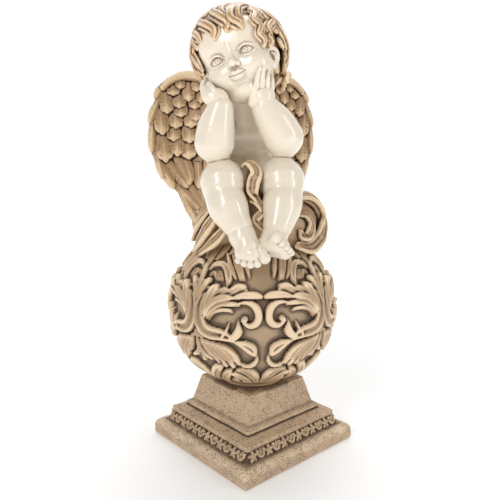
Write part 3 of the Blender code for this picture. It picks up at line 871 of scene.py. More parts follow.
class ShaderKit:
    """Shared node groups, and the materials made from them."""

    PATCH_SCALE = 55.0
    STREAK_SCALE = 620.0
    GRAIN_SCALE = 900.0
    PIT_FLATNESS = (1.0, 1.0, 1.7)
    PIT_SIZE = 0.4
    PIT_WASH = 0.75
    GROUND = rgb(170, 148, 122)
    GROUND_WASH = 0.45
    COAT_ROUGHNESS = 0.12
    HOLLOW_ROUGHNESS = 0.3
    BUMP_STRENGTH = 0.6
    BUMP_DEPTH = 0.0005

    def __init__(self) -> None:
        """Builds the groups once."""
        self.wash = self._wash_group()
        self.pits = self._pits_group()
        self.made: dict[Part, bpy.types.Material] = {}

    def _wash_group(self) -> Tree:
        """Antique wash: dark in the hollows, rubbed light on the crests, uneven between, and browned where
        parts shut each other in, partly wash and partly painted shade.
        """
        kinds = {"Recess": "Float", "Crest": "Float", "Wash_And_Shade": "Float", "Light": "Color",
            "Middle": "Color", "Dark": "Color", "Shade": "Float", "Mottle": "Float"}
        tree, _ = new_tree("antique_wash", "ShaderNodeTree", kinds, {"Colour": "Color", "Hollow": "Float"})
        wires = Wiring(tree)
        given = wires.node("NodeGroupInput").outputs
        patches = wires.math("SUBTRACT", wires.noise(self.PATCH_SCALE, 4.0), 0.5)
        streaks = wires.math("SUBTRACT", wires.noise(self.STREAK_SCALE, 4.0), 0.5)
        shift = wires.math("MULTIPLY", wires.math("ADD", patches, streaks), given["Mottle"])
        rub = wires.ramp(wires.math("ADD", given["Crest"], shift), 0.05, 0.75)
        base = wires.mix(rub, given["Middle"], given["Light"])
        # Painted shade, partly the wash's own tint: places shut in among other parts are browned.
        wash_and_shade_tint = wires.mix(0.5, given["Middle"], given["Dark"])
        among = wires.math("ADD", given["Wash_And_Shade"], wires.math("MULTIPLY", shift, 0.4))
        shaded = wires.math("MULTIPLY", wires.ramp(among, 0.06, 0.75), given["Shade"])
        washed = wires.mix(shaded, base, wash_and_shade_tint)
        cut = wires.math("ADD", given["Recess"], wires.math("MULTIPLY", shift, 0.35))
        hollow = wires.ramp(cut, 0.08, 0.85)
        colour = wires.mix(hollow, washed, given["Dark"])
        wires.node("NodeGroupOutput", {"Colour": colour, "Hollow": hollow})
        return tree

    def _pits_group(self) -> Tree:
        """Small round pits of uneven size."""
        tree, _ = new_tree("plaster_pits", "ShaderNodeTree", {"Scale": "Float", "Amount": "Float"},
            {"Mask": "Float", "Height": "Float"})
        wires = Wiring(tree)
        given = wires.node("NodeGroupInput").outputs
        flat = wires.node("ShaderNodeVectorMath", operation="MULTIPLY")
        wires.feed(flat.inputs[0], wires.place())
        wires.feed(flat.inputs[1], self.PIT_FLATNESS)
        cells = wires.node("ShaderNodeTexVoronoi", {"Vector": flat.outputs[0], "Scale": given["Scale"]})
        patch = wires.ramp(wires.noise(130.0, 2.0), 0.22, 0.56)
        size = wires.math("MULTIPLY", wires.math("MULTIPLY", patch, self.PIT_SIZE), given["Amount"])
        mask = wires.ramp(wires.math("SUBTRACT", size, cells.outputs["Distance"]), 0.0, 0.1)
        wires.node("NodeGroupOutput", {"Mask": mask, "Height": wires.math("MULTIPLY", mask, -1.0)})
        return tree

    def material(self, part: Part) -> bpy.types.Material:
        """Gives the material of a part, made the first time it is asked for.

        Args:
            part: Which finish is wanted.

        Returns:
            The material.
        """
        if part in self.made:
            return self.made[part]
        finish = FINISHES[part]
        material = bpy.data.materials.new(finish.name)
        material.use_nodes = True
        wires = Wiring(material.node_tree)
        inputs = {"Light": finish.light, "Middle": finish.middle, "Dark": finish.dark,
            "Shade": finish.shade, "Mottle": finish.mottle}
        # The third mask holds the wash and the painted shade where parts shut each other in.
        for label in ("Recess", "Crest", "Wash_And_Shade"):
            inputs[label] = wires.node("ShaderNodeAttribute", attribute_name=label.lower()).outputs["Fac"]
        wash = wires.node("ShaderNodeGroup", inputs, node_tree=self.wash)
        colour = wash.outputs["Colour"]
        height = wires.math("MULTIPLY", wires.noise(self.GRAIN_SCALE, 3.0), finish.grain)
        if part is Part.BALL:
            ground = wires.node("ShaderNodeAttribute", attribute_name="ground").outputs["Fac"]
            colour = wires.mix(wires.math("MULTIPLY", ground, self.GROUND_WASH), colour, self.GROUND)
        if finish.pits > 0:
            sizes = {"Scale": 1 / (finish.pit_spacing * MM), "Amount": finish.pits}
            pits = wires.node("ShaderNodeGroup", sizes, node_tree=self.pits)
            colour = wires.mix(wires.math("MULTIPLY", pits.outputs["Mask"], self.PIT_WASH), colour,
                finish.dark)
            height = wires.math("ADD", height, pits.outputs["Height"])
        rough = wires.math("MULTIPLY", wash.outputs["Hollow"], self.HOLLOW_ROUGHNESS)
        feeds = {"Base Color": colour, "Roughness": wires.math("ADD", rough, finish.roughness),
            "Coat Weight": finish.coat, "Coat Roughness": self.COAT_ROUGHNESS}
        if finish.grain > 0:
            sizes = {"Height": height, "Strength": self.BUMP_STRENGTH, "Distance": self.BUMP_DEPTH}
            feeds["Normal"] = wires.node("ShaderNodeBump", sizes).outputs["Normal"]
        for label, value in feeds.items():
            wires.feed(material.node_tree.nodes["Principled BSDF"].inputs[label], value)
        self.made[part] = material
        return material


# The head

@dataclass
class Head:
    """The head's own frame: x to its left, y to its back, z to its crown."""

    centre: tuple[float, float, float] = (-14.5, -24.0, 163.5)
    roll: float = -21.0
    yaw: float = -20.0
    pitch: float = -6.0
    step: float = 0.59
    hair_step: float = 0.8
    hair_radius: float = 40.5
    crown: tuple[float, float, float] = (0.0, 6.0, 3.0)

    # Half the distance between the eyes
    EYE = 13.6
    # Middle and radii of the dome that the fringe lies on
    FRINGE_MIDDLE = 4
    FRINGE_RADII = (39.5, 42.5, 40.5)

    @property
    def turn(self) -> Array:
        """The head's axes as columns."""
        return turned("Y", self.roll) @ turned("Z", self.yaw) @ turned("X", self.pitch)

    def _hung(self, skin: Skin, clay: Clay) -> Skin:
        """Moves a skin from the head's frame to the figure's.

        Args:
            skin: The skin.
            clay: The block that it was made from.

        Returns:
            The same skin, in its place.
        """
        skin.holds = [lambda at: clay.holds((at - np.array(self.centre)) @ self.turn)]
        skin.points = skin.points @ self.turn.T + np.array(self.centre)
        return skin

    def face(self) -> Skin:
        """Skull, cheeks, eyes, nose, lips, chin and ears of a plain child's face."""
        clay = Clay((-43, -49, -46), (43, 46, 46), self.step)
        clay.egg((0, 4, 7), (37, 39, 35.5), 0)
        clay.egg((0, -10, -14), (31, 27, 26), 10)
        clay.egg((0, -21, 13), (29, 16, 20), 9)
        clay.egg((0, -19, -36), (17, 14, 8), 8)
        for side in (-1, 1):
            clay.egg((side * 16.5, -24, -17), (13, 12.4, 12.5), 7)
        clay.egg((0, -30.5, -33.5), (8.5, 8, 7), 6)
        clay.cord(((0, -34, 6, 3), (0, -36.5, -3, 2.6), (0, -40.6, -10, 3)), 4.5)
        clay.egg((0, -42.2, -11.6), (3.9, 3.7, 3.4), 2)
        self._mouth(clay)
        for side in (-1, 1):
            self._eye(clay, side)
            self._ear(clay, side)
            clay.egg((side * 3.9, -39.4, -12.6), (2.5, 3.2, 2.3), 1.4)
            clay.egg((side * 1.9, -42.4, -14.8), (1.2, 1.8, 1), 0.8, cut=True)
        skin = Skin.of(clay, 1, (4, 20, 1.7))
        skin.ink(self._lines(), 0.9)
        return self._hung(skin, clay)

    @classmethod
    def _lines(cls) -> list[Array]:
        """The carved lines that the wash settles in, as rows of (x, y, z, strength)."""
        found = [smooth_rows(((-8.2, -36, -20.2, 0.7), (-5, -38.6, -21.3, 0.55), (0, -39.6, -22, 0.55),
            (5, -38.6, -21.3, 0.55), (8.2, -36, -20.2, 0.7)), 4)]
        for side in (-1, 1):
            x = side * cls.EYE
            found += [np.array(cls._iris(side, radius, count, 0.5)) for radius,
                count in ((2.8, 17), (0.6, 9))]
            for rows in (
                ((-7, -35, -4.8, 0.5), (-3.5, -36.4, -1.6, 0.6), (1, -36.6, -0.6, 0.6), (5, -35, -2, 0.6),
                    (7.8, -32, -4.4, 0.5)),
                ((-6.6, -35.2, -5.4, 0.4), (-2, -36.2, -6.9, 0.45), (3, -35.6, -7.1, 0.45),
                    (7.4, -32.4, -5, 0.4)),
                ((-5.5, -37, 1.4, 0.4), (1, -37.4, 3.4, 0.5), (7, -34.4, 1.4, 0.4)),
            ):
                found.append(smooth_rows(sided(side, rows, x), 4))
            found.append(np.array(sided(side, ((1.9, -42.6, -15, 0.7), (2.6, -42, -15.2, 0.7)))))
        return found

    @classmethod
    def _iris(cls, side: int, radius: float, count: int, last: float) -> list[Row]:
        """A ring on the ball of an eye.

        Args:
            side: 1 for the left eye, -1 for the right one.
            radius: The ring's radius.
            count: How many points it has.
            last: The fourth number of each row.

        Returns:
            The ring's rows.
        """
        x = side * cls.EYE - side * 0.4
        return [(x + radius * math.cos(a), -36.2, -3.3 + radius * math.sin(a), last)
            for a in np.linspace(0, math.tau, count)]

    @staticmethod
    def _mouth(clay: Clay) -> None:
        """Closed lips with a slight, calm smile."""
        clay.egg((0, -34.6, -22), (7.4, 4.8, 3.6), 1.2)
        for side in (-1, 1):
            clay.cord(sided(side, ((0, -39, -20.4, 1.6), (2.6, -39.4, -19.4, 1.9), (5.2, -37.8, -20, 1.4),
                (7.8, -35.6, -20.2, 0.7))), 1.2, 4)
        clay.cord(((-6.8, -36, -21.8, 0.8), (-3.8, -38.4, -23.4, 1.8), (0, -39, -24.2, 2.2),
            (3.8, -38.4, -23.4, 1.8), (6.8, -36, -21.8, 0.8)), 1.2, 4)
        clay.cord(((-8.2, -37, -20.2, 0.7), (-5, -39.8, -21.3, 0.6), (-2.4, -41.2, -21.7, 0.6),
            (0, -41.4, -22.1, 0.6), (2.4, -41.2, -21.7, 0.6), (5, -39.8, -21.3, 0.6),
            (8.2, -37, -20.2, 0.7)), 0.5, 3, cut=True)
        clay.egg((0, -37.8, -28.6), (6, 2, 1.6), 3, cut=True)

    @classmethod
    def _eye(cls, clay: Clay, side: int) -> None:
        """Carves an eye: socket, ball, two lids, and an iris cut as a ring.

        Args:
            clay: The block.
            side: 1 for the left eye, -1 for the right one.
        """
        x = side * cls.EYE
        clay.egg((x, -40.5, -2.5), (8.6, 6, 6), 5, cut=True)
        clay.egg((x, -29.4, -3.2), (7, 6.8, 6.2), 1.6)
        upper = ((-7.6, -35, -4.6, 0.8), (-3.5, -36.9, -0.6, 1.25), (1, -37.1, 0.6, 1.4),
            (5, -35.6, -0.8, 1.3), (8.2, -32, -4.2, 0.9))
        lower = ((-7, -35, -5, 0.7), (-2, -36.2, -7.6, 0.9), (3, -35.6, -7.9, 0.9), (8, -32.2, -4.8, 0.7))
        for lid in (upper, lower):
            clay.cord(sided(side, lid, x), 0.9, 4)
        clay.cord(cls._iris(side, 2.8, 17, 0.62), 0.3, cut=True)
        clay.egg((x - side * 0.4, -36.8, -3.3), (1.1, 1.2, 1.1), 0.3, cut=True)

    @staticmethod
    def _ear(clay: Clay, side: int) -> None:
        """An ear with its rim, bowl and lobe."""
        def place(back: float, up: float, out: float) -> tuple[float, float, float]:
            """A spot on the ear's own plane, which leans with the side of the head."""
            return (side * (26.4 + 0.50 * back + 0.80 * out), -20.5 + 0.78 * back - 0.55 * out,
                -14.2 + 0.88 * (up + 13.0))

        clay.egg(place(7.5, -13, -2), (5, 7, 9.5), 2.5)
        clay.egg(place(7.5, -11.5, 3.4), (3.6, 4.2, 5.6), 1.2, cut=True)
        rim = ((2.0, -16.0, 0.6, 1.3), (1.5, -10.0, 1.2, 1.7), (4.5, -4.8, 2.2, 2.0),
            (10.0, -4.4, 3.4, 2.0), (13.6, -8.8, 4.0, 1.9), (12.6, -15.5, 3.4, 1.9),
            (8.0, -21.3, 1.8, 2.3))
        clay.cord([(*place(back, up, out), r) for back, up, out, r in rim], 1, 4)
        clay.egg(place(5.6, -21.3, 1.2), (2.8, 3.2, 3.6), 1.6)
        fold = ((10.4, -16.5, 2.2, 1.0), (10.8, -11.5, 2.8, 1.1), (8.0, -8.0, 2.2, 0.9))
        clay.cord([(*place(back, up, out), r) for back, up, out, r in fold], 0.9, 3)

    def lock(self, bearing: float, start: float, end: float, swing: float, width: float, lift: float,
            waves: float = 0.9, count: int = 8) -> Array:
        """Centre line of a wavy lock on the skull.

        Args:
            bearing: Degrees from the face round to the head's left.
            start: Degrees from the crown where the lock starts.
            end: Degrees from the crown where it ends.
            swing: How far its waves swing to the side, in degrees.
            width: Half width at its widest.
            lift: How far its middle stands off the skull.
            waves: How many waves it has.
            count: How many points are read.

        Returns:
            Rows of (x, y, z, half width) in the head's frame.
        """
        rows = []
        for t in np.linspace(0, 1, count):
            polar = math.radians(start + (end - start) * t)
            narrowing = min(1.0, 0.45 + math.sin(polar) * 0.6)
            around = math.radians(bearing + swing / narrowing * math.sin(t * math.tau * waves + 0.4))
            reach = self.hair_radius + lift * math.sin(math.pi * min(1.0, t * 1.15))
            fall = self.crown[1] * (1 - t)
            half = width * (0.35 + 0.65 * math.sin(math.pi * min(1.0, 0.18 + 0.72 * t)))
            rows.append((reach * math.sin(polar) * math.sin(around) * 0.95 + self.crown[0],
                -reach * math.sin(polar) * math.cos(around) * 1.02 + fall,
                reach * math.cos(polar) + self.crown[2], half))
        return np.array(rows)

    # Locks of the fringe and temples: widest half width, then bearing and polar angle
    # about the hair's middle, from root to tip.
    FRINGE = (
        (6.4, ((20, 12), (-8, 20), (-37, 29), (-48, 38), (-24, 51), (-10, 65), (-13, 75))),
        (6.2, ((-8, 14), (-40, 28), (-56, 42), (-58, 50), (-41, 60), (-35, 70))),
        (5.4, ((-40, 22), (-60, 40), (-68, 52), (-56, 62), (-50, 72))),
        (6.6, ((44, 16), (0, 17), (-12, 34), (3, 52), (11, 64), (5, 72))),
        (5, ((60, 24), (30, 22), (8, 36), (8, 48), (17, 58))),
        (6.4, ((76, 30), (40, 37), (20, 50), (16, 62), (23, 70), (26, 76))),
        (4.6, ((64, 44), (54, 40), (34, 46), (27, 58), (33, 65))),
        (4.6, ((52, 44), (54, 58), (43, 70), (47, 80), (42, 88), (47, 95), (46, 103))),
        (5, ((80, 42), (84, 52), (74, 62), (76, 72), (62, 80), (64, 88))),
        (5.4, ((86, 44), (88, 61), (91, 74), (95, 85), (88, 94))),
        (5.8, ((80, 50), (90, 64), (88, 80), (98, 94), (104, 103), (101, 116), (108, 126), (104, 136))),
        (5.6, ((92, 56), (102, 72), (100, 88), (112, 102), (108, 118), (118, 132))),
        (5, ((94, 96), (104, 108), (96, 120), (108, 130), (100, 140))),
        (5.4, ((-40, 36), (-57, 46), (-61, 56), (-66, 66), (-69, 76), (-73, 88), (-67, 101), (-78, 110))),
        (5.4, ((-62, 34), (-76, 50), (-80, 66), (-90, 80), (-84, 96), (-94, 110))),
        (4.8, ((-48, 42), (-58, 51), (-64, 60), (-68, 72), (-57, 87), (-53, 99))),
    )

    def fringe(self) -> list[Array]:
        """The locks of the fringe and temples as rows of (x, y, z, half width)."""
        found = []
        for half, path in self.FRINGE:
            rows = []
            for k, (bearing, polar) in enumerate(path):
                t = k / (len(path) - 1)
                b, q = math.radians(bearing), math.radians(polar)
                stand = 1.045 + 0.075 * math.sin(math.pi * min(1.0, t * 1.1))
                width = half * (0.45 + 0.55 * math.sin(math.pi * min(1.0, 0.12 + 0.66 * t)))
                side, front, up = (radius * stand for radius in self.FRINGE_RADII)
                rows.append((side * math.sin(q) * math.sin(b),
                    self.FRINGE_MIDDLE - front * math.sin(q) * math.cos(b),
                    self.FRINGE_MIDDLE + up * math.cos(q), width * (1.0 if t < 1 else 0.5)))
            found.append(np.array(rows))
        return found

    def locks(self) -> list[Array]:
        """The plainer locks of the crown, sides and back."""
        found = []
        for i, bearing in enumerate((-62, -44, -27, -10, 8, 26, 44, 62)):
            way = -1 if bearing < 12 else 1
            found.append(self.lock(bearing, 6 + 4 * (i % 2), 46 + 5 * (i % 2), way * 12, 5.6, 3.0, 1.0, 9))
        for side in (-1, 1):
            for i, bearing in enumerate((72, 88, 104)):
                found.append(self.lock(side * bearing, 16, 74 + 6 * (i % 3), side * 10, 5.6, 3.2, 1.2, 10))
            for i, bearing in enumerate((116, 130, 144, 158, 172)):
                found.append(self.lock(side * bearing, 24, 122 + 5 * (i % 2), side * 9 * (-1) ** i, 5.8,
                    3.8, 1.5, 12))
            for i, bearing in enumerate((122, 136, 150, 165)):
                found.append(self.lock(side * bearing, 60, 132, -side * 8 * (-1) ** i, 4.8, 3.0, 1.2, 9))
        for i, bearing in enumerate(range(-170, 180, 40)):
            found.append(self.lock(bearing, 1, 42, 18, 5.0, 4.0, 0.8, 8))
        return found

    def curls(self) -> list[Array]:
        """Small round curls at the temples, under the ears and on the nape."""
        spots = []
        for side in (-1, 1):
            spots += [(side * 35, 6, -24, 5.2), (side * 31, 11, -33, 5.4), (side * 38, 12, -14, 5.4),
                (side * 26, 20, -36, 5.8), (side * 40, 2, -2, 5.0), (side * 40, 14, 2, 5.4),
                (side * 36, 0, -34, 4.6), (side * 39, -2, 11, 4.8)]
        spots += [(-9, 28, -34, 6.0), (9, 28, -34, 6.0)]
        found = []
        for x, y, z, size in spots:
            out = np.array((x, y, z + 6.0))
            out /= np.linalg.norm(out)
            across = np.cross((0, 0, 1.0), out)
            across /= np.linalg.norm(across)
            up = np.cross(out, across)
            rows = []
            for t in np.linspace(0, 1, 11):
                angle = math.tau * 1.25 * t * (1 if x > 0 else -1)
                arm = 1.2 * size * (1 - 0.72 * t)
                round_it = across * arm * math.cos(angle)
                spot = np.array((x, y, z)) + round_it + up * arm * math.sin(angle) + out * 1.6 * t
                rows.append((*spot, 2.3 * (1 - 0.3 * t)))
            found.append(np.array(rows))
        return found

    def hair(self) -> Skin:
        """The scalp and its locks, each a sheaf of strands."""
        clay = Clay((-54, -56, -48), (54, 60, 58), self.hair_step)
        clay.egg((0, 8, 8), (38, 37.5, 36.5), 0)
        clay.egg((0, 15, -12), (33, 26, 26), 6)
        for side in (-1, 1):
            clay.egg((side * 30, -5, -8), (5, 13, 20), 3)
        for rows in self.locks():
            self._sheaf(clay, rows)
        for rows in self.curls():
            clay.cord(rows, 0.5, run=5)
        clay.egg((0, -30, -14), (31.5, 23, 33), 2.5, cut=True)
        clay.egg((0, -34, 8), (25, 12, 15), 2, cut=True)
        for side in (-1, 1):
            clay.egg((side * 34.5, -17, -14), (8.5, 9.5, 9.8), 2, cut=True)
        for rows in self.fringe():
            self._sheaf(clay, rows, 4, 5)
        for side in (-1, 1):
            over_ear = np.array(((side * 33, -12, 16, 2.6), (side * 36.4, -14, 9, 3.6),
                (side * 34.2, -18.5, 3.5, 3.6), (side * 36.0, -19.5, -2, 3.2),
                (side * 33.4, -21.5, -6.5, 1.6)))
            self._sheaf(clay, over_ear, 3, 5)
        return self._hung(Skin.of(clay, 1, (3, 12, 0.8)), clay)

    @staticmethod
    def _sheaf(clay: Clay, rows: Array, strands: int = 5, steps: int = 2) -> None:
        """Presses one lock into the clay as strands side by side that meet at its ends.

        Args:
            clay: The block.
            rows: The lock's centre line, as rows of (x, y, z, half width).
            strands: How many strands it has.
            steps: How many pieces each stretch is read in.
        """
        line = smooth_rows(rows, steps)
        out, across = sideways(line, (0.0, 6.0, 0.0))
        middle = line.copy()
        middle[:, 3] *= 0.62
        clay.cord(middle, 0.4, run=5)
        for k in range(strands):
            share = 2 * k / (strands - 1) - 1
            strand = line.copy()
            strand[:, :3] += across * (share * line[:, 3:4] * 0.76)
            strand[:, :3] += out * (line[:, 3:4] * (0.5 * math.sqrt(max(0.0, 1 - share**2)) - 0.1))
            strand[:, 3] = line[:, 3] * (1.0 / strands) + 0.2
            clay.cord(strand, 0.3, run=5)


# The body

@dataclass
class Body:
    """Torso, limbs, hands and feet, in the figure's frame."""

    step: float = 0.97
    fine_step: float = 0.5

    def torso_and_limbs(self) -> Skin:
        """Hips, belly, chest, shoulders, neck, arms and legs."""
        clay = Clay((-66, -96, -12), (54, 50, 140), self.step)
        clay.egg((-2, 18, 42), (33, 27, 22), 0)
        clay.egg((-4, 7, 62), (29, 27, 24), 10)
        clay.egg((-6, 8, 90), (31, 26, 25), 10)
        clay.egg((-17, -10, 92), (14, 12, 12), 8)
        clay.egg((6, -10, 93), (14, 12, 12), 8)
        clay.cord(((-34, 0, 106, 14), (24, 0, 108, 14)), 10)
        clay.cord(((-8, -4, 104, 16), (-14, -16, 128, 17)), 9)
        clay.egg((-5, -17.6, 60), (1.4, 2, 2.4), 2, cut=True)
        self._arm(clay, (-34, -1, 106), (-41, -44, 84), 15.5)
        clay.cord(((-41, -49, 83, 18.4), (-39.5, -51, 96, 17), (-36.8, -53, 108, 13.4),
            (-35.6, -54, 113.5, 11.6)), 1.4, 3)
        self._arm(clay, (24, -2, 106), (22, -44, 89), 15.5)
        clay.cord(((23, -49, 88.5, 18.8), (15.5, -50, 101, 17.2), (7.6, -51.5, 111, 13.6),
            (4.6, -52.5, 115.5, 12)), 1.4, 3)
        clay.cord(((-20, 14, 45, 24), (-33, -46, 48, 20.5)), 6)
        clay.cord(((-34, -51, 47, 20.6), (-33, -56, 36.5, 18), (-29.6, -62.5, 25, 18.2),
            (-25, -68.5, 14.4, 14.6), (-21.8, -72.2, 8.8, 12.9)), 2, 4)
        clay.cord(((16, 14, 45, 24), (21, -46, 49, 21.5)), 6)
        clay.cord(((21.5, -51, 48, 21.4), (21.8, -56.5, 37, 18.2), (19.8, -63, 26, 18.2),
            (16.4, -69.5, 14.6, 15), (14, -73.2, 8.4, 13.4)), 2, 4)
        return Skin.of(clay, 2, (4, 26, 1.9))

    @staticmethod
    def _arm(clay: Clay, shoulder: Row, elbow: Row, radius: float) -> None:
        """An upper arm, fullest below the shoulder."""
        middle = (np.array(shoulder) + np.array(elbow)) / 2
        clay.cord(((*shoulder, radius - 0.5), (*middle, radius + 0.6), (*elbow, radius + 1)), 5, 3)

    def hands(self) -> Skin:
        """The cupped hands, the right one under the jaw and the left one along the cheek."""
        right = Clay((-66, -68, 106), (-20, -22, 152), self.fine_step)
        right.cord(((-35.4, -54, 114, 9), (-37, -53, 121, 9.4)), 0)
        right.egg((-41, -52, 123.5), (11.2, 9.4, 8.4), 3)
        right.egg((-46.6, -47.5, 128), (6.8, 8.6, 7.6), 3)
        for i in range(4):
            back = 4.2 * i
            right.cord(((-48.5 + 0.8 * i, -54.4 + back, 125 + 0.8 * i, 3),
                (-51.4 + 0.6 * i, -50.6 + back, 131.5, 2.7), (-50.4, -45.6 + back, 137.6, 2.2)), 0.4, 3)
        right.cord(((-30.5, -56.4, 119, 3), (-36.5, -58.4, 123.6, 3.5), (-42.6, -56, 130, 3.2),
            (-45.2, -51, 135, 2.5)), 0.8, 3)
        left = Clay((-18, -74, 106), (24, -30, 158), self.fine_step)
        left.cord(((4.6, -53, 115, 9.2), (3.6, -54, 121, 9.6)), 0)
        left.egg((3.2, -55.5, 126), (10.6, 7.4, 9.6), 3)
        left.cord(((-5, -54.5, 119, 5.6), (-5.6, -57, 125.5, 4.6), (-5.4, -59.6, 131, 3.4)), 2, 3)
        for knuckle, bend, tip in (((-3.6, -60.6, 132.6), (-3.4, -64.8, 140.0), (-1.4, -66.6, 147.2)),
                ((1.2, -60.8, 133.4), (1.2, -65.0, 140.6), (2.6, -65.8, 148.6)),
                ((5.9, -59.2, 133.2), (6.0, -62.0, 140.2), (6.8, -60.8, 146.4)),
                ((10.4, -56.4, 131.8), (10.8, -57.2, 138.0), (10.8, -54.6, 143.0))):
            left.cord(((*knuckle, 3.1), (*bend, 2.35), (*tip, 1.9)), 0.3, 4)
        return joined([Skin.of(clay, 1, (3, 12, 0.9)) for clay in (right, left)])

    def feet(self) -> Skin:
        """The right foot hangs down, and the left one is turned so that its sole shows."""
        clay = Clay((-40, -108, -34), (36, -58, 16), self.fine_step)
        clay.cord(((-20.2, -73.5, 6, 10.6), (-18.5, -76, 0, 11.2)), 0)
        clay.cord(((-18.5, -76, 0, 11.6), (-14, -83, -9, 10.6), (-11.5, -88, -15, 8)), 4)
        clay.cord(((-15.5, -82, -8, 9), (-19.5, -85.5, -14.5, 6.8)), 4)
        clay.egg((-17, -72, -7), (9, 8, 9), 4)
        toes = ((-0.8, -92.8, -17.6, 5.2, -4.6, -86.5, -10.5),
            (-7.4, -93.4, -22.2, 3.6, -8.2, -87, -14.5), (-13.0, -92.2, -23.0, 3.5, -12.6, -86.5, -15.0),
            (-18.4, -90.4, -22.2, 3.3, -16.8, -85, -14.5), (-23.2, -87.8, -19.8, 3.2, -20.4, -83, -13.0))
        for x, y, z, r, bx, by, bz in toes:
            clay.cord(((bx, by, bz, r + 0.4), (x * 0.6 + bx * 0.4, y * 0.6 + by * 0.4 - 1,
                z * 0.6 + bz * 0.4, r * 0.86), (x, y, z, r)), 0.35, 3)
        clay.cord(((13.2, -74, 5, 11.6), (10, -77, -2, 11)), 1.5)
        clay.cord(((10, -77, -2, 11.2), (5.5, -80, -7, 9.8)), 4)
        clay.cord(((6.5, -80.5, -7, 9), (10.5, -89.5, -6, 8.4), (14, -91, -7.4, 7.4)), 4)
        clay.cord(((8, -80, -10, 8), (17.5, -88.5, -13.5, 6.6)), 4)
        toes = ((8.2, -98.0, 0.4, 4.8, 7.0, -90, -3.0), (13.4, -97.8, -4.4, 3.3, 11.0, -90.5, -6.0),
            (17.2, -96.8, -7.8, 3.2, 14.2, -90, -8.6), (20.3, -95.0, -10.6, 3.1, 16.8, -89, -11.0),
            (22.7, -92.4, -13.4, 3.0, 18.6, -87.5, -13.0))
        for x, y, z, r, bx, by, bz in toes:
            clay.cord(((bx, by, bz, r + 0.6), (x, y, z, r)), 0.35)
        return Skin.of(clay, 1, (3, 12, 0.9))


# Wings

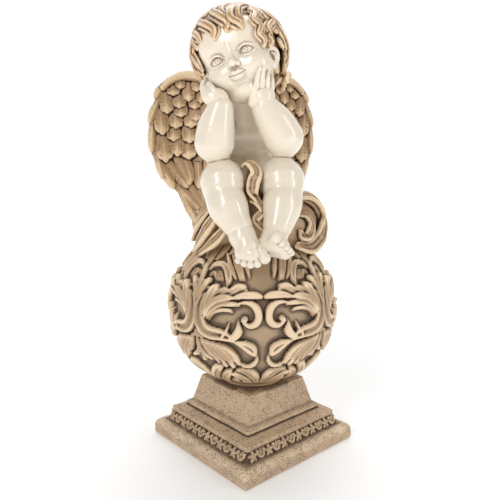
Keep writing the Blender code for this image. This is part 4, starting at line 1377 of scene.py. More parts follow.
@dataclass
class Wing:
    """One wing, carved as relief on a bowed plate and trimmed to its feathers."""

    name: str
    side: int
    root: float
    reach: float
    depth_root: float
    depth_outer: float
    span: float = 72.0
    bow: float = 4.0
    lean: float = 0.05
    middle: float = 110.0
    step: float = 0.63

    # Reach that the feathers are drawn for, and the relief where there is none
    DRAWN = 77.0
    BARE = -9.0

    # Feathers on the face, as root and tip (out from the root edge, height) and half width
    COVERTS = (
        ((50.5, 145), (50.5, 135), 6.6), ((35, 145), (34.5, 129), 6.4), ((27, 151), (26, 139), 5),
        ((43, 152), (43.5, 142), 5), ((22, 140), (22, 127), 4.6),
        ((59, 137), (56.5, 116), 7), ((44.5, 135), (44.5, 122), 7), ((28, 133), (28.5, 121), 6.4),
        ((43.5, 126), (42.5, 113), 7.4), ((28, 123), (27, 109), 7.2), ((16, 128), (17, 114), 6),
        ((64, 121), (62, 94), 7.6), ((48.5, 117), (48, 101), 7.2), ((33, 117), (32, 102), 7.6),
        ((51, 104), (50.5, 88), 7.2), ((35, 104), (34, 86), 8.2), ((19, 108), (20, 93), 7.4),
        ((62, 95), (59, 66), 8.4), ((47, 95), (47, 72), 7.2), ((36, 88), (35, 69), 7.8), ((22, 92),
            (22, 74), 7.2),
        ((9, 110), (9, 92), 6.6), ((9, 94), (10, 74), 6.6),
    )
    PRIMARIES = (
        ((49, 76), (34, 42), 6.4), ((39, 72), (33, 45), 5.4), ((26, 64), (24, 38), 5.6), ((15, 78),
            (14, 48), 5.6),
        ((64, 74), (36, 39), 5.2), ((69, 74), (51, 38), 5.2), ((52, 46), (24, 16), 5.2), ((45, 38),
            (26, 0), 5),
        ((36, 44), (18, 14), 5.4), ((26, 42), (14, 8), 5), ((30, 24), (26, -16), 4.8), ((20, 24),
            (20, -12), 5),
    )
    EDGE = (
        ((56, 150), (70.5, 132), 4.6), ((64, 134), (76, 106), 4.6), ((72, 110), (73.6, 76), 4.6),
        ((71, 88), (62.5, 48), 4.6), ((66, 72), (54, 40), 4.4),
    )
    OUTLINE = (
        (156, 24, 37), (150, 12, 51), (142, 4, 60), (132, 0, 67), (112, -1, 73), (92, -1, 73), (80, -1,
            71), (70, 0, 66),
        (50, 4, 58), (40, 7, 50), (30, 10, 42), (5, 17, 29), (-12, 22, 27),
    )
    RIM = ((14, 112, 4.4), (10, 128, 5.2), (13, 143, 5.6), (23, 153, 5.6), (38, 156, 5.4), (52, 151, 4.6),
        (61, 143, 3.6))

    def base(self, out: Array, height: Array) -> Array:
        """Depth of the plate's middle at places on it."""
        share = out / self.span
        bow = self.bow * ((share - 0.45) ** 2 * 9.0 - 1.0)
        return self.depth_root + (self.depth_outer - self.depth_root) * share - bow + self.lean * (height
            - self.middle)

    @staticmethod
    def feather(out: Array, height: Array, root: Row, tip: Row, half: float, low: float, high: float,
            lobes: int = 0) -> Array:
        """Height of one feather's relief, below zero outside it.

        Args:
            out: Places across the plate.
            height: Places up the plate.
            root: Its root.
            tip: Its tip.
            half: Its half width.
            low: Relief at the root.
            high: Relief at the tip.
            lobes: How many scallops a full turn of its tip would have.

        Returns:
            The relief in millimetres.
        """
        way = np.array(tip, float) - np.array(root, float)
        length = float(np.hypot(*way))
        way /= length
        t = ((out - root[0]) * way[0] + (height - root[1]) * way[1]) / length
        off = (out - root[0]) * way[1] - (height - root[1]) * way[0]
        side = off / (half * np.clip(0.7 + 0.55 * t, 0.4, 1))
        fore = np.clip((t - 0.52) / 0.48, 0, 2)
        edge = 1 - np.hypot(fore, side)
        if lobes:
            edge = edge - 0.13 * (1 - np.abs(np.cos(np.arctan2(side, np.maximum(fore, 1e-3)) * lobes / 2)))
        relief = low + (high - low) * np.clip(t, 0, 1) ** 0.8 + 1.1 * (1 - np.clip(side, -1, 1) ** 2)
        wave = np.abs(((t * length - 1.1 * np.abs(off)) / 2.5) % 1.0 - 0.5) * 2
        barb = np.clip(1 - wave / 0.5, 0, 1) * np.clip(np.abs(side) * 3 - 0.4, 0, 1)
        barb = barb * np.clip(edge * 9, 0, 1)
        relief = relief - 0.55 * barb * np.clip(t * 3, 0, 1)
        relief = relief + 0.5 * np.clip(1 - np.abs(off) / 0.8, 0, 1) * np.clip(edge * 4, 0, 1)
        relief = relief - 1.3 * np.clip(1 - edge * half / 1.1, 0, 1) ** 2
        return np.where((edge > 0) & (t > -0.1), relief, Wing.BARE)

    def plate(self, out: Array, height: Array) -> Array:
        """Whether each place lies on the plate behind the feathers."""
        rows = np.array(self.OUTLINE)[::-1]
        inner, outer = np.interp(height, rows[:, 0], rows[:, 1]), np.interp(height, rows[:, 0], rows[:, 2])
        return (out > inner) & (out < outer - 1.5) & (height > rows[0, 0]) & (height < rows[-1, 0])

    def carve(self) -> Skin:
        """Carves the wing on both faces and skins it."""
        scale = self.reach / self.DRAWN
        outs = np.arange(-6, self.reach + 4, self.step)
        heights = np.arange(-22, 166, self.step)
        out, height = np.meshgrid(outs / scale, heights, indexing="ij")
        front = np.where(self.plate(out, height), 0.6, self.BARE)
        back = front.copy()
        for feathers, wider, (low, high), back_wider, (back_low, back_high) in (
            (self.PRIMARIES, 0.8, (1.0, 3.6), 0.8, (2.4, 4.0)), (self.EDGE, 0.0, (1.6, 3.2), 0.2,
                (2.8, 3.8)),
        ):
            for root, tip, half in feathers:
                front = np.maximum(front, self.feather(out, height, root, tip, half + wider, low, high))
                behind = self.feather(out, height, root, tip, half + back_wider, back_low, back_high)
                back = np.maximum(back, behind)
        for root, tip, half in self.COVERTS:
            start, longer = (root[0], root[1] + 3), (tip[0], tip[1] - 6)
            front = np.maximum(front, self.feather(out, height, start, tip, half + 1.3, 1.4, 5.4, 7))
            back = np.maximum(back, self.feather(out, height, start, longer, half + 1.3, 2.6, 4.8))
        rim = smooth_rows(self.RIM, 5)
        for a, b in zip(rim, rim[1:]):
            way = b[:2] - a[:2]
            t = np.clip(((out - a[0]) * way[0] + (height - a[1]) * way[1]) / float(way @ way), 0, 1)
            gap = np.hypot(out - a[0] - t * way[0], height - a[1] - t * way[1]) / (a[2] + t * (b[2] - a[2]))
            bulge = 7.0 * np.sqrt(np.clip(1 - gap**2, 0, 1)) - 0.3 * np.cos(gap * 12)
            bulge = np.where(gap < 1, bulge, self.BARE)
            front, back = np.maximum(front, bulge), np.maximum(back, bulge * 0.9)
        covered = np.maximum(front, back) > -5
        front = np.where(covered, np.maximum(front, 0.6), self.BARE)
        back = np.where(covered, np.maximum(back, 2.0), self.BARE)
        return self._skinned(outs, heights, self.base(out, height), front, back)

    def _skinned(self, outs: Array, heights: Array, base: Array, front: Array, back: Array) -> Skin:
        """Skins the space between the two carved faces.

        Args:
            outs: Places across.
            heights: Places up.
            base: Depth of the plate's middle.
            front: Height of the front's relief.
            back: Height of the back's relief.

        Returns:
            The wing, with its masks.
        """
        clay = Clay((outs[0], base.min() - 10, heights[0]), (outs[-1], base.max() + 10, heights[-1]),
            self.step)
        n, m = clay.count[0], clay.count[2]
        base, front, back = (values[:n, :m].astype(np.float32)[:, None, :]
            for values in (base, front, back))
        depth = clay.axes[1].reshape(1, -1, 1)
        clay.gap = np.maximum(base - depth - front, depth - base - back)
        points, faces = clay.skin()
        cells = (points - [outs[0], 0, heights[0]]) / [self.step, 1.0, self.step]
        points[:, 0] = self.root + self.side * points[:, 0]
        root, side = self.root, self.side
        flip = np.array((side, 1.0, 1.0))
        skin = Skin(points, faces if side > 0 else faces[:, ::-1])
        skin.holds = [lambda at: clay.holds((at - [root, 0, 0]) * flip)]
        skin.settle(1)
        self._masks(skin, cells, base[:, 0], front[:, 0], back[:, 0])
        return skin

    @staticmethod
    def _masks(skin: Skin, cells: Array, base: Array, front: Array, back: Array) -> None:
        """Reads the wash masks from the carved heights.

        Args:
            skin: The wing's skin.
            cells: Place across, depth and place up of its points, in steps and millimetres.
            base: Depth of the plate's middle.
            front: Height of the front's relief.
            back: Height of the back's relief.
        """
        across = np.clip(np.rint(cells[:, 0]).astype(int), 0, base.shape[0] - 1)
        up = np.clip(np.rint(cells[:, 2]).astype(int), 0, base.shape[1] - 1)
        ahead = cells[:, 1] < base[across, up]
        recess, crest = np.zeros(len(cells)), np.zeros(len(cells))
        for relief, here in ((front, ahead), (back, ~ahead)):
            relief = np.maximum(relief, 0)
            fine, near, broad = spread(relief, 1), spread(relief, 3), spread(relief, 8)
            hollow = np.clip(np.maximum((near - relief) / 1.1, (fine - relief) / 0.4 - 0.15), 0, 1)
            raised = np.clip((relief - broad) / 1.6, 0, 1)
            recess[here], crest[here] = hollow[across[here], up[here]], raised[across[here], up[here]]
        skin.masks["recess"], skin.masks["crest"] = skin.relaxed(recess, 1), crest


# Cloth

@dataclass
class Cloth:
    """The heap of cloth under the cherub, with its rolled ribbons."""

    step: float = 0.94

    MOUNDS = (
        ((1, 6, 0), (54, 48, 28)), ((-2, -24, 18), (26, 32, 28)), ((-28, -2, 2), (30, 42, 30)),
        ((32, -6, 2), (33, 42, 32)), ((49, -18, 12), (14, 12, 18)),
    )
    RIBBONS = (
        # Between the shins
        ((-15.5, -50, 60, 2.4), (-10.5, -56, 63.4, 4.2), (-4.4, -60, 55, 5.6), (-6.4, -61, 44, 5.8),
            (-7, -61, 36, 4.4), (-1.9, -61, 28, 2.8)),
        ((-9, -58, 30, 2.4), (-2.6, -61, 27.4, 4.2), (2.2, -64, 20, 4.2), (-4.6, -66, 13, 3.8),
            (-1, -68, 7, 3.2), (3, -70, 3, 2.2)),
        # Big curl at the figure's left
        ((38, -38, 31, 3.6), (50, -32, 31, 6), (60.5, -28, 24, 7.2), (65.8, -24, 12, 7.4),
            (65.4, -26, 0, 7.4), (61, -32, -10, 7.2), (50, -42, -17.5, 6.8), (37, -50, -14, 4)),
        ((40, -42, 15, 2.6), (47, -41, 13, 4.4), (51, -41, 5, 5.2), (48, -44, -5, 5),
            (41.5, -48, -5.6, 4), (40, -48, 0.6, 2.6)),
        ((44, -14, 34, 4.6), (58, -12, 30, 6.6), (64.5, -12, 23, 4.6)),
        # Pointed folds at the figure's right
        ((-38, -44, 18, 3.4), (-45, -46, 5, 7), (-53, -37, -10, 6.4), (-60, -26, -20, 2.4)),
        ((-44, -28, 20, 3.4), (-53, -24, 6, 6.2), (-60, -14, -10, 3.6)),
        ((-27, -57, 10, 3), (-40, -55, -7, 5.8), (-54, -42, -20, 2.6)),
        # Round the back
        ((-38, -8, 8, 2.2), (-50, 8, 15, 4.6), (-46, 30, 14, 6.8), (-34, 46, 9, 8), (-10, 57, 2, 8),
            (20, 57, 4, 8), (43, 41, 10, 7.2), (52, 20, 14, 5.6), (46, 2, 10, 2.6)),
        ((-42, 4, -4, 2), (-51, 20, 0, 4.4), (-44, 41, -5, 6.4), (-26, 55, -8, 7), (8, 61, -12, 7),
            (36, 51, -7, 6.4), (49, 33, -2, 5), (50, 16, 0, 2.2)),
        ((-30, 30, 18, 2), (-24, 43, 19, 4.6), (-8, 49, 17, 6), (18, 47, 18, 6), (32, 37, 19, 4.4),
            (34, 24, 18, 2)),
    )

    def drape(self) -> Skin:
        """Presses the mounds and ribbons together and skins them."""
        clay = Clay((-78, -86, -30), (80, 80, 80), self.step)
        for centre, radii in self.MOUNDS:
            clay.egg(centre, radii, 8)
        for rows in self.RIBBONS:
            self._ribbon(clay, smooth_rows(rows, 5))
        return Skin.of(clay, 2, (4, 14, 1.1))

    @staticmethod
    def _ribbon(clay: Clay, line: Array) -> None:
        """Presses in a ribbon rolled over at both edges: two lips with a hollow between them.

        Args:
            clay: The block.
            line: The ribbon's middle, as rows of (x, y, z, half width).
        """
        out, across = sideways(line, (0.0, 0.0, -60.0))
        body = line.copy()
        body[:, 3] *= 0.68
        clay.cord(body, 1.5, run=6)
        for share in (-1, 1):
            lip = line.copy()
            lip[:, :3] += across * (share * line[:, 3:4] * 0.7) + out * (line[:, 3:4] * 0.42)
            lip[:, 3] = line[:, 3] * 0.32 + 0.3
            clay.cord(lip, 0.7, run=6)


# The ball

@dataclass(frozen=True)
class Stroke:
    """A carved stroke: rows of (longitude, latitude, half width) in degrees."""

    share: float
    rows: tuple[tuple[float, float, float], ...]
    profile: Profile = Profile.BLADE


@dataclass
class Ball:
    """The carved ball and the ring that it stands on."""

    relief: float = 8.4
    grid: float = 0.6
    sectors: int = 4
    top: float = 60.0
    ring_radius: float = 33.0
    ring_height: float = 5.0

    STROKES = (
        # Main scroll
        Stroke(0.94, ((-39.6, 18.4, 1.4), (-42, 13, 3), (-42.6, 7.2, 4.2), (-41.2, 0.8, 4.8),
            (-37.8, -3.8, 4.9), (-33, -5.6, 4.7), (-28, -6, 4.3), (-23, -7, 3.6), (-18.6, -9.2, 1.4)),
            Profile.CHANNEL),
        # Its upper leaf, lobe by lobe
        Stroke(0.90, ((-39.8, 5, 1.6), (-38.6, 12, 3), (-37.6, 17.6, 2.4))),
        Stroke(1.00, ((-38, 6, 1.6), (-35.6, 14, 3.8), (-33, 20.4, 4.2), (-31.2, 23.2, 2.6))),
        Stroke(0.88, ((-36.2, 9, 1.4), (-31, 16.2, 3.6), (-26.4, 20.4, 3.8), (-23.6, 21.6, 2.2))),
        Stroke(0.82, ((-26, 17.4, 1.4), (-20.6, 20.4, 3.4), (-16.2, 23.2, 3.6), (-12.6, 24, 2.4))),
        Stroke(0.76, ((-20, 19.4, 1.2), (-13.6, 20.6, 2.4), (-10.6, 22, 1.6))),
        Stroke(0.96, ((-21.6, 16.2, 1.2), (-13, 18.4, 3), (-6, 18.8, 3.2), (-1.8, 18, 2.2))),
        # Its inner leaf
        Stroke(1.04, ((-37.8, 3.4, 1.2), (-35, 10.4, 2.7), (-29.6, 15.2, 3.1), (-23.6, 16.8, 2.9),
            (-19, 16.8, 1.7))),
        Stroke(0.88, ((-36.6, 2.4, 1), (-33.4, 8.8, 2.2), (-27.4, 12.8, 2.7), (-20.8, 13.4, 2.6),
            (-15.6, 13.2, 1.8))),
        Stroke(0.72, ((-35.8, 1.2, 0.8), (-32.4, 6.6, 1.6), (-27, 9.4, 2.1), (-22, 9.6, 2.1),
            (-20, 8.4, 1.2))),
        # Volute with its eye
        Stroke(0.86, ((-16, 14, 1), (-9.4, 14.4, 2.4), (-4.8, 11.6, 3.1), (-3, 6.4, 3.2),
            (-4.8, 1.8, 2.9), (-8.6, 0.2, 2.4), (-11.8, 1.8, 1.8)), Profile.ROUND),
        Stroke(1.02, ((-12.3, 3.6, 2.3), (-11.6, 4.2, 2.4)), Profile.ROUND),
        # Fins under the volute
        Stroke(0.88, ((-21.8, 1.2, 0.5), (-22.9, -2.8, 1.5), (-25.6, -7, 1.8)), Profile.ROUND),
        Stroke(0.92, ((-15.8, 4, 0.5), (-15.4, -0.8, 2.4), (-16.2, -4.6, 3.4), (-19.8, -8.2, 2.8))),
        # Leaf tip under the scroll
        Stroke(0.94, ((-20, -9.8, 1), (-13, -11.6, 3), (-8.2, -14.4, 3.9), (-6, -17.8, 2.6),
            (-5.6, -21.2, 0.6)), Profile.CHANNEL),
        # Lower leaf, rib by rib
        Stroke(0.70, ((-42.2, -11.2, 1.2), (-39.4, -15, 2.4), (-36.6, -20.2, 2.2), (-34.6, -22.6, 1.2))),
        Stroke(0.76, ((-41.4, -10.8, 1.2), (-36.8, -14.6, 2.8), (-32.6, -20.6, 3), (-30.4, -26.4, 1.8))),
        Stroke(0.82, ((-40, -10.4, 1.2), (-33.4, -14.6, 3), (-28.2, -20.8, 3.3), (-25.6, -28.6, 2))),
        Stroke(0.86, ((-37, -10.8, 1.2), (-29, -15, 3), (-23.2, -21, 3.4), (-20.2, -28.6, 2))),
        Stroke(0.80, ((-33, -11.4, 1.2), (-24.6, -15.2, 2.8), (-19.2, -20.6, 3), (-16.2, -26.4, 1.8))),
        # Hook between two lower leaves
        Stroke(0.66, ((-17, -25.6, 0.8), (-12.6, -29, 1.9), (-7.8, -28.8, 2.2), (-4.4, -25, 1.9),
            (-3.9, -20.6, 0.8)), Profile.ROUND),
        # Foot leaves
        Stroke(0.62, ((-2.6, -52, 2.2), (-5.4, -41, 4.4), (-11.2, -34.6, 4.4), (-18.4, -33.2, 1.8))),
        Stroke(0.70, ((-9, -54, 2.2), (-12.8, -44, 4), (-18.6, -38.4, 3.8), (-24.4, -37, 1.6))),
        Stroke(0.72, ((-44, -52, 2.6), (-40, -41, 4.2), (-34, -33, 4), (-29.4, -30, 1.6))),
        Stroke(0.64, ((-38, -56, 2.6), (-33, -45, 4.2), (-27.4, -37.2, 3.6), (-23, -33.4, 1.5))),
        Stroke(0.56, ((-27, -60, 2.2), (-24.4, -51, 3.6), (-21.4, -44.6, 1.5))),
        Stroke(0.50, ((-14, -64, 2.4), (-14.4, -56, 3.6), (-15.4, -49, 1.5))),
        # Palmette between two scrolls
        Stroke(0.76, ((-45, 2, 0.8), (-45, 12, 2.2), (-45, 22, 2.8), (-45, 31, 2.6), (-44.4, 37, 1.6))),
        Stroke(0.70, ((-44.4, 9, 1), (-43, 18, 2.2), (-41.4, 26, 2.2))),
        Stroke(0.82, ((-43.8, 12, 1), (-41.8, 20.6, 2.4), (-38.4, 26.8, 2.6))),
        Stroke(0.66, ((-43, 13, 1), (-40.4, 19, 2), (-37.2, 22.2, 2))),
        Stroke(0.52, ((-45, 1, 1.2), (-45, -7, 1.8)), Profile.ROUND),
        Stroke(0.56, ((-43.8, 0, 0.8), (-43.6, -6, 1.6), (-41.6, -9.4, 1)), Profile.ROUND),
        Stroke(0.60, ((-46, -8.4, 1.6), (-41.8, -9.2, 2), (-38.6, -9, 0.8)), Profile.ROUND),
        Stroke(0.58, ((-45.4, -10.6, 1.6), (-45.2, -17, 2.6), (-41.6, -22.6, 2.8), (-36.6, -25.2, 2))),
        Stroke(0.46, ((-45, -12, 1.4), (-45, -28, 2.6))),
        # Hoods with a latticed pad
        Stroke(0.70, ((-42, 34, 1.2), (-38.4, 38, 2.2), (-32, 38.8, 2.6), (-26.6, 35, 2.9),
            (-24, 29, 2.9), (-24.2, 24.8, 1.8)), Profile.CHANNEL),
        Stroke(0.48, ((-39.6, 33, 0.8), (-36.4, 32.6, 1.6), (-34.4, 29, 1)), Profile.ROUND),
        Stroke(0.30, ((-38.6, 30.8, 3.4), (-30.6, 31.2, 5)), Profile.ROUND),
        # Ribs and folds over the middle
        Stroke(0.60, ((-31, 47, 1.4), (-23.8, 36.8, 2.4), (-19, 29.4, 1.6))),
        Stroke(0.54, ((-25, 46, 1.4), (-18.8, 36, 2.2), (-15.2, 28.4, 1.5))),
        Stroke(0.52, ((-20, 46, 1.8), (-16, 36, 2.6), (-13, 28.5, 1.4)), Profile.ROUND),
        Stroke(0.42, ((-14.6, 46, 1.8), (-11.4, 37, 2.4), (-9.4, 31, 1.2)), Profile.ROUND),
        Stroke(0.60, ((-45, 37, 2.2), (-45, 47, 3.8), (-45, 57, 2.8))),
        Stroke(0.50, ((-39.6, 42, 1.8), (-35.4, 50, 3.4), (-33, 57, 2.2))),
        Stroke(0.44, ((-28, 47, 1.8), (-24, 53, 3.2), (-21, 59, 2))),
        Stroke(0.40, ((-12, 47, 1.8), (-10, 53, 3.4), (-9, 59, 2))),
    )

    @staticmethod
    def shaped(profile: Profile, gap: Array, half: Array) -> Array:
        """Height share of a stroke's section.

        Args:
            profile: The section's kind.
            gap: Distance from the middle as a share of the half width.
            half: The half width in degrees.

        Returns:
            The share, from 1 at the highest to 0 outside.
        """
        wall = np.clip((1 - gap) * half / 1.15, 0, 1)
        wall = wall * wall * (3 - 2 * wall)
        if profile is Profile.CHANNEL:
            return wall * (0.76 + 0.24 * np.clip(gap / 0.7, 0, 1) ** 2.2)
        if profile is Profile.BLADE:
            crease = np.clip(1 - gap * half / 0.7, 0, 1)
            return wall * (0.62 + 0.38 * np.sqrt(np.clip(1 - gap * gap, 0, 1)) - 0.09 * crease)
        return np.sqrt(np.clip(1 - gap * gap, 0, 1)) * (0.4 + 0.6 * wall)

    def height(self, longitude: Array, latitude: Array) -> Array:
        """Height share of the carving over half a sector, where longitude is -45 to 0."""
        shrink = np.cos(np.radians(latitude))
        total = np.zeros_like(longitude)
        for stroke in self.STROKES:
            line = smooth_rows(stroke.rows, 4)
            best, half = np.full_like(longitude, 9.0), np.ones_like(longitude)
            for x0 in (longitude, -90 - longitude) if line[:, 0].min() < -38 else (longitude,):
                for a, b in zip(line, line[1:]):
                    ex, ey = (b[0] - a[0]) * shrink, b[1] - a[1]
                    px, py = (x0 - a[0]) * shrink, latitude - a[1]
                    t = np.clip((px * ex + py * ey) / np.maximum(ex * ex + ey * ey, 1e-9), 0, 1)
                    wide = a[2] + (b[2] - a[2]) * t
                    gap = np.hypot(px - t * ex, py - t * ey) / wide
                    half = np.where(gap < best, wide, half)
                    best = np.minimum(best, gap)
            total = np.maximum(total, stroke.share * self.shaped(stroke.profile, best, half))
        return total

    def lattice(self, longitude: Array, latitude: Array) -> Array:
        """Criss-cross lines on the pad under each hood, as millimetres cut away."""
        pad = np.clip(1.3 - np.hypot((np.abs(longitude) - 33) * 0.84, latitude - 31) / 4.6, 0, 1)
        lines = 0.0
        for slope in (-1, 1):
            wave = np.abs(((np.abs(longitude) * 0.84 + slope * latitude) / 2.6) % 1.0 - 0.5) * 2
            lines = np.maximum(lines, np.clip(1 - wave / 0.3, 0, 1))
        return 0.7 * pad * lines

    def sector(self) -> dict[str, Skin]:
        """A quarter of the ball with its carving, cut at the equator into two closed skins."""
        half = int(round(45 / self.grid))
        bottom = -90 + math.degrees(math.asin(SETTING.ball_foot / SETTING.ball_radius)) * 0.9
        fine = self.height(*np.meshgrid(np.linspace(-45, 0, 2 * half + 1),
            np.arange(bottom, self.top, self.grid / 2)))
        left = spread(fine, 1)[::2, ::2]
        share = np.hstack([left, left[:, -2::-1]])
        lats = bottom + self.grid * np.arange(len(share))
        longitude, latitude = np.meshgrid(np.linspace(-45, 45, 2 * half + 1), lats)
        share = share * np.clip((latitude + 62) / 22, 0.05, 1.0) ** 0.8
        radius = SETTING.ball_radius + self.relief * share + self._unevenness(longitude, latitude)
        radius -= self.lattice(longitude, latitude)
        near, broad = spread(radius, 2), spread(radius, 6)
        # Painted shade: below the equator the wash grows stronger towards the bottom, as the underside
        # would be shaded.
        low = np.clip((-12 - latitude) / 40, 0, 1)
        masks = {
            "recess": np.clip(np.maximum((near - radius) / 0.55, (broad - radius) / 4.6) * (1 + low)
                + 0.2 * low, 0, 1),
            "crest": np.clip((radius - broad) / 2.6, 0, 1) * np.clip(0.55 + (radius - near) / 0.5, 0, 1),
            "ground": np.clip(1 - share / 0.12, 0, 1),
        }
        split = int(np.argmin(np.abs(lats)))
        zones = {}
        for name, rows in (("ball_lower", slice(0, split + 1)), ("ball_upper", slice(split, len(lats)))):
            here = {label: mask[rows] for label, mask in masks.items()}
            zones[name] = self._zone(longitude[rows], latitude[rows], radius[rows], here)
        return zones

    @staticmethod
    def _zone(longitude: Array, latitude: Array, radius: Array, masks: dict[str, Array]) -> Skin:
        """Skins one zone of the sector, left open where it meets its neighbours.

        Args:
            longitude: Longitudes of the grid in degrees.
            latitude: Its latitudes.
            radius: The carved radius at each place.
            masks: The masks at each place.

        Returns:
            The zone.
        """
        lam, phi = np.radians(longitude), np.radians(latitude)
        points = np.stack([radius * np.cos(phi) * np.sin(lam), -radius * np.cos(phi) * np.cos(lam),
            radius * np.sin(phi)], -1).reshape(-1, 3)
        rows, across = radius.shape
        number = np.arange(rows * across).reshape(rows, across)
        corners = [number[:-1, :-1], number[:-1, 1:], number[1:, 1:], number[1:, :-1]]
        points[:, 2] = np.maximum(points[:, 2], SETTING.seat - SETTING.ball_centre)
        flat = {label: mask.ravel() for label, mask in masks.items()}
        return Skin(points, np.stack(corners, -1).reshape(-1, 4), flat)

    def holds(self, points: Array) -> Array:
        """Whether each point of the figure's frame lies in the ball, its carving left out."""
        return np.linalg.norm(points + [0, 0, SETTING.ball_radius], axis=1) < SETTING.ball_radius + 3.0

    @staticmethod
    def _unevenness(longitude: Array, latitude: Array) -> Array:
        """A slight hand-cast wobble that matches itself from one sector to the next."""
        a, b = np.radians(longitude * 4), np.radians(latitude)
        return 0.25 * np.sin(3 * a + 1.0) * np.sin(9 * b) + 0.2 * np.cos(5 * a) * np.sin(14 * b + 2.0)

    def foot_ring(self) -> Skin:
        """The low collar under the ball."""
        profile = ((0.0, 0.0), (0.95, 0.0), (1.0, 0.25), (1.0, 0.45), (0.955, 0.72), (0.90, 0.86),
            (0.88, 1.0), (0.80, 1.12), (0.0, 1.12))
        line = smooth_rows(profile[1:-1], 3)
        line = np.vstack([profile[0], line, profile[-1]])
        count = 120
        angle = np.linspace(0, math.tau, count, endpoint=False)
        points = []
        for share, up in line:
            radius = max(self.ring_radius * share, 0.02) + 0.25 * np.sin(angle * 5) * share
            points.append(np.stack([radius * np.cos(angle), radius * np.sin(angle),
                np.full(count, up * self.ring_height)], 1))
        number = np.arange(len(line) * count).reshape(len(line), count)
        points = np.vstack(points)
        points[:, 2] += SETTING.seat - SETTING.ball_centre
        return Skin(points, bands(number), {"ground": np.full(len(points), 0.3)})


# The plinth

